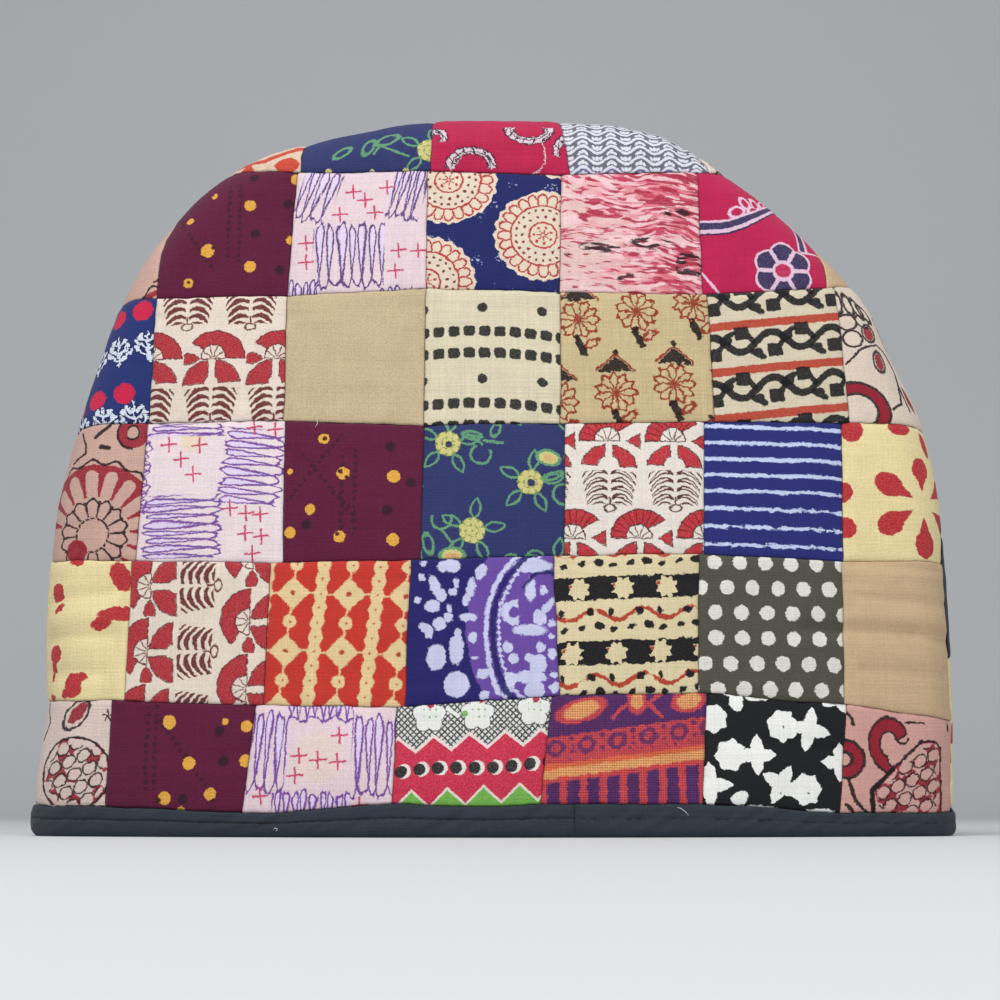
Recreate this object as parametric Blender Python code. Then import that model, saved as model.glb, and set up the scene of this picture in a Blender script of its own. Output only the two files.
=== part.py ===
"""Padded patchwork tea cosy, standing on its hem.

Two padded half shells of pieced cotton meet in a seam that runs from one foot of the
arch over the crown to the other. The open hem is covered all round by a folded cotton
binding, and the cosy stands on that binding. The front faces -Y, +X is to its right,
+Z is up, and the origin is on the floor under the middle of the hem.
"""

from collections import namedtuple
import math

import bmesh
import bpy
from mathutils import Vector

MM = 0.001                     # metres in a millimetre

# Driving dimensions, in metres
HEIGHT = 0.270                 # floor to the top of the crown
FOOT_HALF_WIDTH = 0.1667       # middle to either foot of the side seam
HEM_HALF_DEPTH = 0.054         # middle to the face at the hem, where the cosy is fullest
EDGE_RADIUS = 0.016            # roundness of the padded edge along the side seam
WALL = 0.008                   # patchwork, wadding and lining together
GAP = 0.0003                   # between one sewn piece and the next

# Hem binding, a strip folded round the edge of both walls
BINDING_HEIGHT = 0.0105        # floor to the binding's upper edge
BINDING_CLOTH = 0.0018         # folded strip, two layers and a turning
BINDING_PROUD = 0.001          # how far it stands out from the wall on each side
BINDING_ROUND = 0.0016         # soft corners of its lower fold
BINDING_LIP = 0.0007           # soft corners of its upper edges

# The wall is pressed thin where the binding holds it
TONGUE_INSET = BINDING_CLOTH - BINDING_PROUD + GAP
TONGUE_FOOT = BINDING_CLOTH + GAP
LEDGE_HEIGHT = BINDING_HEIGHT + GAP

# The arch seen from the front: how far the side seam lies to the left and to the right
# of the middle at each height, in millimetres. The right shoulder is a little lower.
ArchRow = namedtuple("ArchRow", "height left right")
ARCH = (
    ArchRow(12.0, 166.7, 166.7),
    ArchRow(45.0, 163.3, 167.7),
    ArchRow(80.0, 164.6, 167.2),
    ArchRow(118.0, 161.9, 165.6),
    ArchRow(148.0, 155.6, 159.9),
    ArchRow(172.0, 149.0, 151.1),
    ArchRow(198.0, 140.5, 138.8),
    ArchRow(220.0, 127.9, 119.9),
    ArchRow(240.0, 110.6, 98.8),
    ArchRow(256.0, 87.0, 77.1),
    ArchRow(265.2, 51.0, 57.0),
    ArchRow(269.3, 24.0, 28.0),
)

CROWN_POWER = 1.15             # how the fullness of the face fades from hem to crown
CURVE_STEPS = 16               # points on each span of the arch before it is resampled
SIDE_STEPS = 15                # columns of faces up each side of the arch
TOP_STEPS = 30                 # columns of faces over the top, and along the hem
EDGE_STEPS = 4                 # faces round the padded edge

FRONT, BACK = -1, 1

PATCHWORK_COLOUR = (0.42, 0.24, 0.20, 1.0)
BACK_COLOUR = (0.33, 0.20, 0.22, 1.0)
BINDING_COLOUR = (0.035, 0.036, 0.042, 1.0)


def clear_scene():
    for item in list(bpy.data.objects):
        bpy.data.objects.remove(item, do_unlink=True)


def cloth_material(name, colour):
    """Plain matt cotton."""
    material = bpy.data.materials.new(name)
    material.use_nodes = True
    shader = material.node_tree.nodes["Principled BSDF"]
    shader.inputs["Base Color"].default_value = colour
    shader.inputs["Roughness"].default_value = 0.9
    shader.inputs["Metallic"].default_value = 0.0
    return material


def spline_point(before, start, end, after, t):
    """Point at share t of a smooth span from start to end."""
    return 0.5 * (
        2 * start
        + (end - before) * t
        + (2 * before - 5 * start + 4 * end - after) * t ** 2
        + (3 * start - before - 3 * end + after) * t ** 3
    )


def arch_curve():
    """Close points of the side seam as (x, z), from the left foot over to the right."""
    left = [Vector((-row.left, row.height)) * MM for row in ARCH]
    right = [Vector((row.right, row.height)) * MM for row in reversed(ARCH)]
    knots = left + [Vector((0.0, HEIGHT))] + right
    below = Vector((0.0, knots[1].y - knots[0].y))
    knots = [knots[0] - below] + knots + [knots[-1] - below]
    curve = [Vector((-FOOT_HALF_WIDTH, LEDGE_HEIGHT))]
    for before, start, end, after in zip(knots, knots[1:], knots[2:], knots[3:]):
        for step in range(CURVE_STEPS):
            curve.append(spline_point(before, start, end, after, step / CURVE_STEPS))
    curve.append(knots[-2])
    curve.append(Vector((FOOT_HALF_WIDTH, LEDGE_HEIGHT)))
    return curve


Station = namedtuple("Station", "foot inward")


def arch_stations(curve, count):
    """Stations at even steps along the arch, each with its inward direction."""
    lengths = [0.0]
    for a, b in zip(curve, curve[1:]):
        lengths.append(lengths[-1] + (b - a).length)
    stations = []
    span = 0
    for step in range(count + 1):
        want = lengths[-1] * step / count
        while span < len(curve) - 2 and lengths[span + 1] < want:
            span += 1
        share = (want - lengths[span]) / (lengths[span + 1] - lengths[span])
        along = (curve[span + 1] - curve[span]).normalized()
        stations.append(
            Station(curve[span].lerp(curve[span + 1], share), Vector((along.y, -along.x)))
        )
    return stations


def half_width(curve, x, z):
    """Distance from the middle to the side seam at height z, on the side of x."""
    side = [p for p in curve if (p.x <= 0) == (x <= 0)]
    side.sort(key=lambda p: p.y)
    if z <= side[0].y:
        return FOOT_HALF_WIDTH
    for low, high in zip(side, side[1:]):
        if z <= high.y:
            share = (z - low.y) / (high.y - low.y)
            return abs(low.x + (high.x - low.x) * share)
    return abs(side[-1].x)


def fullness(curve, x, z):
    """How far the face swells out past the padded edge at (x, z)."""
    deepest = (HEM_HALF_DEPTH - EDGE_RADIUS) * (1 - min(z / HEIGHT, 1.0) ** CROWN_POWER)
    across = min(abs(x) / max(half_width(curve, x, z), MM), 1.0)
    return deepest * (1 - across ** 2)


def edge_point(curve, station, turn, offset):
    """Point on the rounded edge, offset in from the outside, turn radians from the seam."""
    reach = EDGE_RADIUS - (EDGE_RADIUS - offset) * math.cos(turn)
    flat = station.foot + station.inward * reach
    depth = EDGE_RADIUS - offset + fullness(curve, flat.x, flat.y)
    return Vector((flat.x, depth * math.sin(turn), flat.y))


def face_point(curve, flat, offset):
    """Point on the face at flat = (x, z), offset in from the outside."""
    depth = EDGE_RADIUS - offset + fullness(curve, flat.x, flat.y)
    return Vector((flat.x, depth, flat.y))


def hem_station(side, height):
    """Station on the upright foot of the side seam; side is -1 left or 1 right."""
    return Station(Vector((side * FOOT_HALF_WIDTH, height)), Vector((-side, 0.0)))


def edge_turns():
    return [math.pi / 2 * step / EDGE_STEPS for step in range(EDGE_STEPS + 1)]


def hem_line(curve, height, offset):
    """Points round one half of the hem at a height, from the left seam to the right."""
    left = hem_station(-1, height)
    right = hem_station(1, height)
    line = [edge_point(curve, left, turn, offset) for turn in edge_turns()]
    reach = FOOT_HALF_WIDTH - EDGE_RADIUS
    for column in range(1, TOP_STEPS):
        x = reach * (2 * column / TOP_STEPS - 1)
        line.append(face_point(curve, Vector((x, height)), offset))
    line += [edge_point(curve, right, turn, offset) for turn in reversed(edge_turns())]
    return line


def face_grid(stations):
    """(x, z) points of the face inside the rounded edge, blended from its four sides."""
    rim = [station.foot + station.inward * EDGE_RADIUS for station in stations]
    left = rim[:SIDE_STEPS + 1]
    top = rim[SIDE_STEPS:SIDE_STEPS + TOP_STEPS + 1]
    right = list(reversed(rim[SIDE_STEPS + TOP_STEPS:]))
    rows = []
    for row in range(SIDE_STEPS + 1):
        v = row / SIDE_STEPS
        points = []
        for column in range(TOP_STEPS + 1):
            u = column / TOP_STEPS
            bottom = left[0].lerp(right[0], u)
            across = left[row].lerp(right[row], u)
            upward = bottom.lerp(top[column], v)
            corners = bottom.lerp(left[-1].lerp(right[-1], u), v)
            points.append(across + upward - corners)
        rows.append(points)
    return rows


def add_grid(mesh, rows, side):
    """Quads over rows of points; the gap of the side seam parts the two halves."""
    grid = [
        [mesh.verts.new((p.x, side * (p.y + GAP / 2), p.z)) for p in row] for row in rows
    ]
    for low, high in zip(grid, grid[1:]):
        for a, b, c, d in zip(low, low[1:], high[1:], high):
            mesh.faces.new((a, b, c, d))


def finish_object(name, mesh, material):
    """Closes and smooths the mesh and puts it in the scene as one object."""
    bmesh.ops.remove_doubles(mesh, verts=mesh.verts, dist=0.01 * MM)
    bmesh.ops.recalc_face_normals(mesh, faces=mesh.faces)
    data = bpy.data.meshes.new(name)
    mesh.to_mesh(data)
    mesh.free()
    data.shade_smooth()
    data.set_sharp_from_angle(angle=math.radians(50))
    data.materials.append(material)
    item = bpy.data.objects.new(name, data)
    bpy.context.scene.collection.objects.link(item)
    return item


def build_panel(name, side, curve, material):
    """One padded half of the cosy: outer face, lining face, seam edge and hem tongue."""
    stations = arch_stations(curve, 2 * SIDE_STEPS + TOP_STEPS)
    face = face_grid(stations)
    mesh = bmesh.new()
    rims = []
    feet = []
    for offset, tongue in ((0.0, TONGUE_INSET), (WALL, WALL - TONGUE_INSET)):
        pressed = (TONGUE_FOOT, LEDGE_HEIGHT)
        strip = [
            [edge_point(curve, hem_station(-1, z), turn, tongue) for turn in edge_turns()]
            for z in pressed
        ]
        strip += [
            [edge_point(curve, station, turn, offset) for turn in edge_turns()]
            for station in stations
        ]
        strip += [
            [edge_point(curve, hem_station(1, z), turn, tongue) for turn in edge_turns()]
            for z in reversed(pressed)
        ]
        add_grid(mesh, strip, side)
        middle = slice(EDGE_STEPS, EDGE_STEPS + TOP_STEPS + 1)
        rows = [hem_line(curve, z, tongue)[middle] for z in pressed]
        rows += [[face_point(curve, flat, offset) for flat in row] for row in face]
        add_grid(mesh, rows, side)
        rims.append([row[0] for row in strip])
        feet.append(hem_line(curve, TONGUE_FOOT, tongue))
    add_grid(mesh, rims, side)
    add_grid(mesh, feet, side)
    return finish_object(name, mesh, material)


def build_binding(name, curve, material):
    """Closed channel of folded cloth round the hem, with a flat underside."""
    outside = -BINDING_PROUD
    groove_out = outside + BINDING_CLOTH
    groove_in = WALL - groove_out
    inside = WALL - outside
    # Section of the folded strip as (offset, height), round from its underside
    section = (
        (outside + BINDING_ROUND, 0.0),
        (outside, BINDING_ROUND),
        (outside, BINDING_HEIGHT - BINDING_LIP),
        (outside + BINDING_LIP, BINDING_HEIGHT),
        (groove_out, BINDING_HEIGHT),
        (groove_out, BINDING_CLOTH),
        (groove_in, BINDING_CLOTH),
        (groove_in, BINDING_HEIGHT),
        (inside - BINDING_LIP, BINDING_HEIGHT),
        (inside, BINDING_HEIGHT - BINDING_LIP),
        (inside, BINDING_ROUND),
        (inside - BINDING_ROUND, 0.0),
    )
    mesh = bmesh.new()
    rings = []
    for offset, height in section:
        line = hem_line(curve, height, offset)
        ring = [(p.x, FRONT * (p.y + GAP / 2), p.z) for p in line]
        ring += [(p.x, BACK * (p.y + GAP / 2), p.z) for p in reversed(line)]
        rings.append([mesh.verts.new(p) for p in ring])
    for low, high in zip(rings, rings[1:] + rings[:1]):
        for a, b, c, d in zip(low, low[1:] + low[:1], high[1:] + high[:1], high):
            mesh.faces.new((a, b, c, d))
    return finish_object(name, mesh, material)


clear_scene()
arch = arch_curve()
build_panel("front_panel", FRONT, arch, cloth_material("patchwork_front", PATCHWORK_COLOUR))
build_panel("back_panel", BACK, arch, cloth_material("patchwork_back", BACK_COLOUR))
build_binding("hem_binding", arch, cloth_material("binding_cotton", BINDING_COLOUR))
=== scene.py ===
"""Padded patchwork tea cosy: the cloth, prints, binding and stitches over the CAD form."""

import math
from collections import namedtuple

import bmesh
import bpy
from mathutils import Matrix, Vector, noise
from mathutils.kdtree import KDTree


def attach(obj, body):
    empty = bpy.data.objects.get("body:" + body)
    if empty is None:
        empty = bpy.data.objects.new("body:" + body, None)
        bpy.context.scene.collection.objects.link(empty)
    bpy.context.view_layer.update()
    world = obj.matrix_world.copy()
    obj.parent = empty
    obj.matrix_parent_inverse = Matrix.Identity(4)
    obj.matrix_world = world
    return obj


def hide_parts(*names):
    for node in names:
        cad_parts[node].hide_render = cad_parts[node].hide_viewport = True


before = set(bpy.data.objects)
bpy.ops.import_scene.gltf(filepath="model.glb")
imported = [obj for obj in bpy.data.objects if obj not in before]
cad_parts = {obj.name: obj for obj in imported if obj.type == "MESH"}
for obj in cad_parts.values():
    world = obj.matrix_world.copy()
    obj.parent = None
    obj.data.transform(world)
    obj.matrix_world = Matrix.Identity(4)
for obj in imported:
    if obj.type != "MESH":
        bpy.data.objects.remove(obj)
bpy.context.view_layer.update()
MM = 0.001                       # metres in a millimetre

# ---------------------------------------------------------------- studio
# A pale floor that curves up into a pale backdrop, two broad soft lights and a dim, even
# room. The camera stands low in front of the cosy and looks slightly up at its crown.
FLOOR_COLOUR = (0.60, 0.61, 0.62, 1.0)
ROOM_COLOUR = (0.92, 0.96, 1.0, 1.0)
ROOM_STRENGTH = 0.42
CAMERA_PLACE = (2.2, -710.0, 10.0)      # mm
CAMERA_TILT = 9.08                      # degrees up
CAMERA_LENS = 69.3
FLOOR_HALF_WIDTH = 3.0                  # metres, as all of the studio below
FLOOR_FRONT = -2.0
FLOOR_FLAT = 1.2                        # the floor starts to curve up here
FLOOR_BEND = 0.6                        # and this is its radius
BACKDROP_HEIGHT = 3.0

camera = bpy.data.objects.new("camera", bpy.data.cameras.new("camera"))
bpy.context.scene.collection.objects.link(camera)
camera.location = Vector(CAMERA_PLACE) * MM
camera.rotation_euler = (math.radians(90 + CAMERA_TILT), 0.0, 0.0)
camera.data.sensor_width = 36.0
camera.data.lens = CAMERA_LENS
camera.data.clip_start = 0.01
bpy.context.scene.camera = camera

sweep = bmesh.new()
ends = [sweep.verts.new((-FLOOR_HALF_WIDTH, FLOOR_FRONT, 0.0))]
bend = [(math.sin(math.radians(a)), 1 - math.cos(math.radians(a))) for a in range(0, 91, 6)]
for reach, height in [(FLOOR_FLAT + FLOOR_BEND * x, FLOOR_BEND * y) for x, y in bend] + [
        (FLOOR_FLAT + FLOOR_BEND, BACKDROP_HEIGHT)]:
    ends.append(sweep.verts.new((-FLOOR_HALF_WIDTH, reach, height)))
    sweep.edges.new(ends[-2:])
across = bmesh.ops.extrude_edge_only(sweep, edges=sweep.edges[:])
bmesh.ops.translate(
    sweep, vec=(2 * FLOOR_HALF_WIDTH, 0.0, 0.0),
    verts=[v for v in across["geom"] if isinstance(v, bmesh.types.BMVert)])
bmesh.ops.recalc_face_normals(sweep, faces=sweep.faces)
floor_mesh = bpy.data.meshes.new("floor")
sweep.to_mesh(floor_mesh)
sweep.free()
floor_mesh.shade_smooth()
floor = bpy.data.objects.new("floor", floor_mesh)
bpy.context.scene.collection.objects.link(floor)
floor_paint = bpy.data.materials.new("floor_paint")
floor_paint.use_nodes = True
floor_paint.node_tree.nodes["Principled BSDF"].inputs["Base Color"].default_value = FLOOR_COLOUR
floor_paint.node_tree.nodes["Principled BSDF"].inputs["Roughness"].default_value = 0.9
floor_mesh.materials.append(floor_paint)

room = bpy.data.worlds.new("room")
room.use_nodes = True
room.node_tree.nodes["Background"].inputs["Color"].default_value = ROOM_COLOUR
room.node_tree.nodes["Background"].inputs["Strength"].default_value = ROOM_STRENGTH
bpy.context.scene.world = room
bpy.context.scene.view_settings.view_transform = "Standard"
for name, place, aim, size, watts in (
    ("overhead_softbox", (-0.35, -0.75, 1.35), (0.0, 0.0, 0.10), 1.1, 17.8),
    ("front_softbox", (0.55, -1.55, 0.75), (0.0, 0.0, 0.12), 1.3, 10.6),
):
    lamp = bpy.data.objects.new(name, bpy.data.lights.new(name, "AREA"))
    bpy.context.scene.collection.objects.link(lamp)
    lamp.data.size = size
    lamp.data.energy = watts
    lamp.location = place
    lamp.rotation_euler = (Vector(aim) - Vector(place)).to_track_quat("-Z", "Y").to_euler()

# ---------------------------------------------------------------- padded walls
# Each half of the cosy is a curved wall of wadding faced inside with plain cotton lining.
# The walls are cut to the arch, meet in the side seam, and the patches are sewn over them.
HEIGHT = 270.0                   # floor to the top of the crown, in mm like all below
FOOT_HALF_WIDTH = 166.7          # middle to either foot of the side seam
HEM_HALF_DEPTH = 54.0            # middle to the face at the hem
EDGE_RADIUS = 16.0               # roundness of the padded edge
EDGE_SLACK = (math.pi / 2 - 1) * EDGE_RADIUS     # cloth that goes round the edge, laid flat
QUARTER = math.pi / 2 * EDGE_RADIUS
WALL = 8.0                       # patchwork, wadding and lining together
GAP = 0.3                        # between the two halves
CROWN_POWER = 1.15               # how the fullness fades from hem to crown
CLOTH_BED = 1.15                 # depth of the wadding under the patches' outside
FRONT, BACK = -1, 1
ARCH = (                         # height, and reach of the side seam to left and to right
    (12.0, 166.7, 166.7), (45.0, 163.3, 167.7), (80.0, 164.6, 167.2), (118.0, 161.9, 165.6),
    (148.0, 155.6, 159.9), (172.0, 149.0, 151.1), (198.0, 140.5, 138.8),
    (220.0, 127.9, 119.9), (240.0, 110.6, 98.8), (256.0, 87.0, 77.1), (265.2, 51.0, 57.0),
    (269.3, 24.0, 28.0),
)


def spline_point(before, start, end, after, t):
    """Point at share t on the smooth curve from start to end."""
    return 0.5 * (2 * start + (end - before) * t
                  + (2 * before - 5 * start + 4 * end - after) * t ** 2
                  + (3 * start - before - 3 * end + after) * t ** 3)


def arch_line():
    """Points of the side seam as (x, z), from the left foot over the crown to the right."""
    knots = [Vector((-left, z)) for z, left, right in ARCH] + [Vector((0.0, HEIGHT))]
    knots += [Vector((right, z)) for z, left, right in reversed(ARCH)]
    below = Vector((0.0, knots[1].y - knots[0].y))
    knots = [knots[0] - below] + knots + [knots[-1] - below]
    line = [Vector((-FOOT_HALF_WIDTH, z)) for z in (-4.0, 0.0, 4.0, 8.0)]
    for before, start, end, after in zip(knots, knots[1:], knots[2:], knots[3:]):
        line += [spline_point(before, start, end, after, step / 16) for step in range(16)]
    return line + [Vector((FOOT_HALF_WIDTH, z)) for z in (12.0, 8.0, 4.0, 0.0, -4.0)]


SEAM = arch_line()
SEAM_INWARD = []
for place in range(len(SEAM)):
    along = SEAM[min(place + 1, len(SEAM) - 1)] - SEAM[max(place - 1, 0)]
    SEAM_INWARD.append(Vector((along.y, -along.x)).normalized())
seam_finder = KDTree(len(SEAM))
for place, point in enumerate(SEAM):
    seam_finder.insert((point.x, point.y, 0.0), place)
seam_finder.balance()
REACHES = {
    side: sorted((p.y, abs(p.x)) for p in SEAM if (p.x <= 0) == (side < 0)) for side in (-1, 1)
}


def between(table, x):
    """Value at x from rows of (x, value), running on in line past both ends."""
    for (x0, y0), (x1, y1) in zip(table, table[1:]):
        if x <= x1:
            break
    return y0 + (y1 - y0) * (x - x0) / (x1 - x0) if x1 != x0 else y1


def fullness(x, z):
    """How far the face swells out past the padded edge."""
    reach = between(REACHES[-1 if x <= 0 else 1], min(z, HEIGHT))
    deepest = (HEM_HALF_DEPTH - EDGE_RADIUS) * (1 - min(max(z, 0.0) / HEIGHT, 1) ** CROWN_POWER)
    return deepest * (1 - min(abs(x) / max(reach, 1.0), 1.0) ** 2)


def seam_near(flat):
    """Nearest point of the side seam, the way inward from it, and how far in flat lies."""
    nearest = seam_finder.find((flat.x, flat.y, 0.0))[1]
    best = None
    for low in (max(nearest - 1, 0), min(nearest, len(SEAM) - 2)):
        a, b = SEAM[low], SEAM[low + 1]
        share = min(max((flat - a).dot(b - a) / (b - a).length_squared, 0.0), 1.0)
        foot = a.lerp(b, share)
        if best is None or (flat - foot).length < best[0]:
            inward = SEAM_INWARD[low].lerp(SEAM_INWARD[low + 1], share).normalized()
            best = ((flat - foot).length, foot, inward)
    return best[1], best[2], (flat - best[1]).dot(best[2])


def on_wall(flat, lift, side):
    """Place in metres of a point of the cloth laid flat, lift mm out from the wall's face."""
    foot, inward, depth_in = seam_near(flat)
    arc = depth_in + EDGE_SLACK
    turn = math.pi / 2
    if arc < QUARTER:
        turn = arc / EDGE_RADIUS
        flat = foot + inward * (EDGE_RADIUS - (EDGE_RADIUS + lift) * math.cos(turn))
    out = (EDGE_RADIUS + lift + fullness(flat.x, flat.y)) * math.sin(turn)
    return Vector((flat.x, side * (out + GAP / 2), flat.y)) * MM


Crease = namedtuple("Crease", "x0 z0 x1 z1 rise wide")
CREASES = {                      # soft troughs (rise below 0) and ridges of the real cloth
    FRONT: (
        Crease(110, 72.5, 150, 72.5, -0.9, 1.2), Crease(150, 72.5, 166, 70, -0.9, 1.2),
        Crease(108, 72.5, 166, 70, -0.9, 2.8), Crease(128, 77.5, 164, 76, 0.7, 2.4),
        Crease(130, 84, 166, 83, -0.8, 1.6), Crease(130, 58, 164, 57, -0.8, 1.8),
        Crease(126, 96, 162, 95, -0.6, 1.6), Crease(-162, 84, -134, 86, -0.8, 2.2),
        Crease(-163, 70, -136, 71, -0.9, 2.4), Crease(-163, 58, -140, 57, -0.6, 2.2),
        Crease(-162, 77, -138, 78, 0.5, 2.6),
        Crease(78, 34, 122, 30, -0.5, 3.0), Crease(-134, 30, -90, 26, -0.5, 3.2),
        Crease(-60, 172, -30, 165, -0.4, 4.0), Crease(30, 34, 70, 20, -0.5, 3.5),
    ),
    BACK: (
        Crease(-150, 60, -110, 66, -0.9, 3.0), Crease(90, 90, 130, 84, -0.7, 3.0),
        Crease(-40, 30, 10, 36, -0.6, 3.4), Crease(20, 180, 60, 172, -0.5, 4.0),
    ),
}


SWELLS = ((0.75, 42), (0.42, 15), (0.16, 6))     # height and width of the slack cloth's swells


def slack(flat, side):
    """How far the cloth stands off its even shape: slow swells and the main creases."""
    here = Vector((flat.x, flat.y, 37.0 * side))
    rise = sum(high * noise.noise(here / wide) for high, wide in SWELLS)
    for crease in CREASES[side]:
        start = Vector((crease.x0, crease.z0))
        run = Vector((crease.x1, crease.z1)) - start
        share = (flat - start).dot(run) / run.length_squared
        off = (flat - start - run * min(max(share, 0.0), 1.0)).length / crease.wide
        if off < 3:
            rise += crease.rise * math.exp(-off * off)
    return rise


def put_in_scene(name, mesh, material):
    """The finished bmesh as a smooth object that rides with the cosy."""
    data = bpy.data.meshes.new(name)
    mesh.to_mesh(data)
    mesh.free()
    data.shade_smooth()
    data.materials.append(material)
    item = bpy.data.objects.new(name, data)
    bpy.context.scene.collection.objects.link(item)
    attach(item, "root")
    return item


class Mark:
    """A number that varies over a cloth: a length in mm, or a share of ink from 0 to 1."""

    tree = None

    def __init__(self, socket):
        self.socket = socket

    def __add__(self, other):
        return work("ADD", self, other)

    def __radd__(self, other):
        return work("ADD", other, self)

    def __sub__(self, other):
        return work("SUBTRACT", self, other)

    def __rsub__(self, other):
        return work("SUBTRACT", other, self)

    def __mul__(self, other):
        return work("MULTIPLY", self, other)

    def __rmul__(self, other):
        return work("MULTIPLY", other, self)

    def __truediv__(self, other):
        return work("DIVIDE", self, other)

    def __neg__(self):
        return work("MULTIPLY", self, -1.0)

    def __abs__(self):
        return work("ABSOLUTE", self)


def work(kind, *values, clamp=False):
    """A Math node on marks and plain numbers."""
    node = Mark.tree.nodes.new("ShaderNodeMath")
    node.operation = kind
    node.use_clamp = clamp
    for socket, value in zip(node.inputs, values):
        if isinstance(value, Mark):
            Mark.tree.links.new(value.socket, socket)
        else:
            socket.default_value = value
    return Mark(node.outputs[0])


def sine(x):
    return work("SINE", x)


def cosine(x):
    return work("COSINE", x)


def most(x, other):
    return work("MAXIMUM", x, other)


def least(x, other):
    return work("MINIMUM", x, other)


def clear(d, soft=0.2):
    return work("MULTIPLY_ADD", d, 1 / soft, 0.5, clamp=True)


def either(*marks):
    """Inside any of the shapes."""
    found = marks[0]
    for mark in marks[1:]:
        found = most(found, mark)
    return found


def both(*marks):
    """Inside all of the shapes at once."""
    found = marks[0]
    for mark in marks[1:]:
        found = least(found, mark)
    return found


def cloud(size, detail=1.0, stretch=(1.0, 1.0), shift=0.0, place=None):
    """Soft noise from 0 to 1 over the cloth, with swells of about size mm."""
    here = Mark.tree.nodes["cut"].outputs["UV"]
    if place:
        join = Mark.tree.nodes.new("ShaderNodeCombineXYZ")
        for socket, mark in zip(join.inputs, place):
            Mark.tree.links.new(mark.socket, socket)
        here = join.outputs[0]
    lay = Mark.tree.nodes.new("ShaderNodeMapping")
    lay.inputs["Location"].default_value = (shift, shift * 0.7, shift * 0.3)
    lay.inputs["Scale"].default_value = (stretch[0] / size, stretch[1] / size, 1.0)
    Mark.tree.links.new(here, lay.inputs["Vector"])
    grain = Mark.tree.nodes.new("ShaderNodeTexNoise")
    grain.inputs["Scale"].default_value = 1.0
    grain.inputs["Detail"].default_value = detail
    Mark.tree.links.new(lay.outputs["Vector"], grain.inputs["Vector"])
    return Mark(grain.outputs["Fac"])


def dyed(under, colour, share):
    """Colour laid over what is under it, by share."""
    mix = Mark.tree.nodes.new("ShaderNodeMix")
    mix.data_type = "RGBA"
    for socket, value in ((mix.inputs[0], share), (mix.inputs[6], under), (mix.inputs[7], colour)):
        if isinstance(value, Mark):
            Mark.tree.links.new(value.socket, socket)
        else:
            socket.default_value = value if socket.type == "VALUE" else (*value, 1.0)
    return Mark(mix.outputs[2])


def linear(colour):
    """Screen colour as the light it stands for."""
    return tuple(c / 12.92 if c <= 0.04045 else ((c + 0.055) / 1.055) ** 2.4 for c in colour)


WAVER = 4.0                      # mm that a print with shake=1 may wander off its drawing
RELIEF = 0.16                    # depth of the weave


def cotton(name, ground, printed=None, thread=0.42, twill=False, coarse=0.5, shake=0.25,
           soft=0.22, worn=0.12, slub=0.12, rough=0.86, speck=0.42):
    """Woven cotton, printed by printed(u, v), which gives (colour, inside distance) layers."""
    material = bpy.data.materials.new(name)
    material.use_nodes = True
    tree = Mark.tree = material.node_tree
    cut = tree.nodes.new("ShaderNodeUVMap")
    cut.name, cut.uv_map = "cut", "cut"
    split = tree.nodes.new("ShaderNodeSeparateXYZ")
    tree.links.new(cut.outputs["UV"], split.inputs["Vector"])
    u, v = Mark(split.outputs["X"]), Mark(split.outputs["Y"])
    # threads over and under each other
    warp, weft = sine((u + v if twill else u) * (math.pi / thread)), sine(v * (math.pi / thread))
    over = warp * weft
    weave = either(abs(warp) * (over * 0.4 + 0.6), abs(weft) * (0.6 - over * 0.4))
    # uneven yarn: thick and thin threads both ways, and soft patches of fading
    yarn = cloud(1.0, 1.0, (2.2, 0.035)) + cloud(1.0, 1.0, (0.035, 2.2), 9.0) - 1.0
    shade = cloud(9.0, 3.0, shift=4.0)
    fleck = cloud(0.42, shift=6.0)
    colour = linear(ground)
    if printed:
        wander = cloud(1.6, 2.0, shift=2.0) - 0.5
        sway = cloud(1.7, 2.0, shift=11.0) - 0.5
        holding = 1.0 - (1.0 - weave) * (worn * 0.35) - clear(fleck - 0.58, 0.16) * (worn * 0.8)
        ragged = (fleck - 0.5) * 0.9
        for ink, inside in printed(u + wander * (WAVER * shake), v + sway * (WAVER * shake)):
            colour = dyed(colour, linear(ink), clear(inside + ragged, soft) * holding)
    # Brightness of the cloth: uneven yarn, patches of fading and flecks are the cloth's own tone, while the
    # weave term is painted shade, darker in the hollows between the threads
    light = (yarn * (slub * 1.5) + weave * (coarse * 0.32) + shade * 0.16 + fleck * speck
             + (0.78 - coarse * 0.19 - speck * 0.5))
    shown = tree.nodes.new("ShaderNodeMix")
    shown.data_type, shown.blend_type = "RGBA", "MULTIPLY"
    shown.inputs[0].default_value = 1.0
    grey = tree.nodes.new("ShaderNodeCombineColor")
    for channel in grey.inputs:
        tree.links.new(light.socket, channel)
    if isinstance(colour, Mark):
        tree.links.new(colour.socket, shown.inputs[6])
    else:
        shown.inputs[6].default_value = (*colour, 1.0)
    tree.links.new(grey.outputs["Color"], shown.inputs[7])
    relief = tree.nodes.new("ShaderNodeBump")
    relief.inputs["Strength"].default_value = 0.8
    relief.inputs["Distance"].default_value = RELIEF * MM
    tree.links.new((weave * coarse + yarn * 0.9 + fleck * 0.6).socket, relief.inputs["Height"])
    shader = tree.nodes["Principled BSDF"]
    tree.links.new(shown.outputs[2], shader.inputs["Base Color"])
    tree.links.new(relief.outputs["Normal"], shader.inputs["Normal"])
    shader.inputs["Roughness"].default_value = rough
    shader.inputs["Specular IOR Level"].default_value = 0.25
    shader.inputs["Sheen Weight"].default_value = 0.07
    shader.inputs["Sheen Roughness"].default_value = 0.45
    return material


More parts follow.
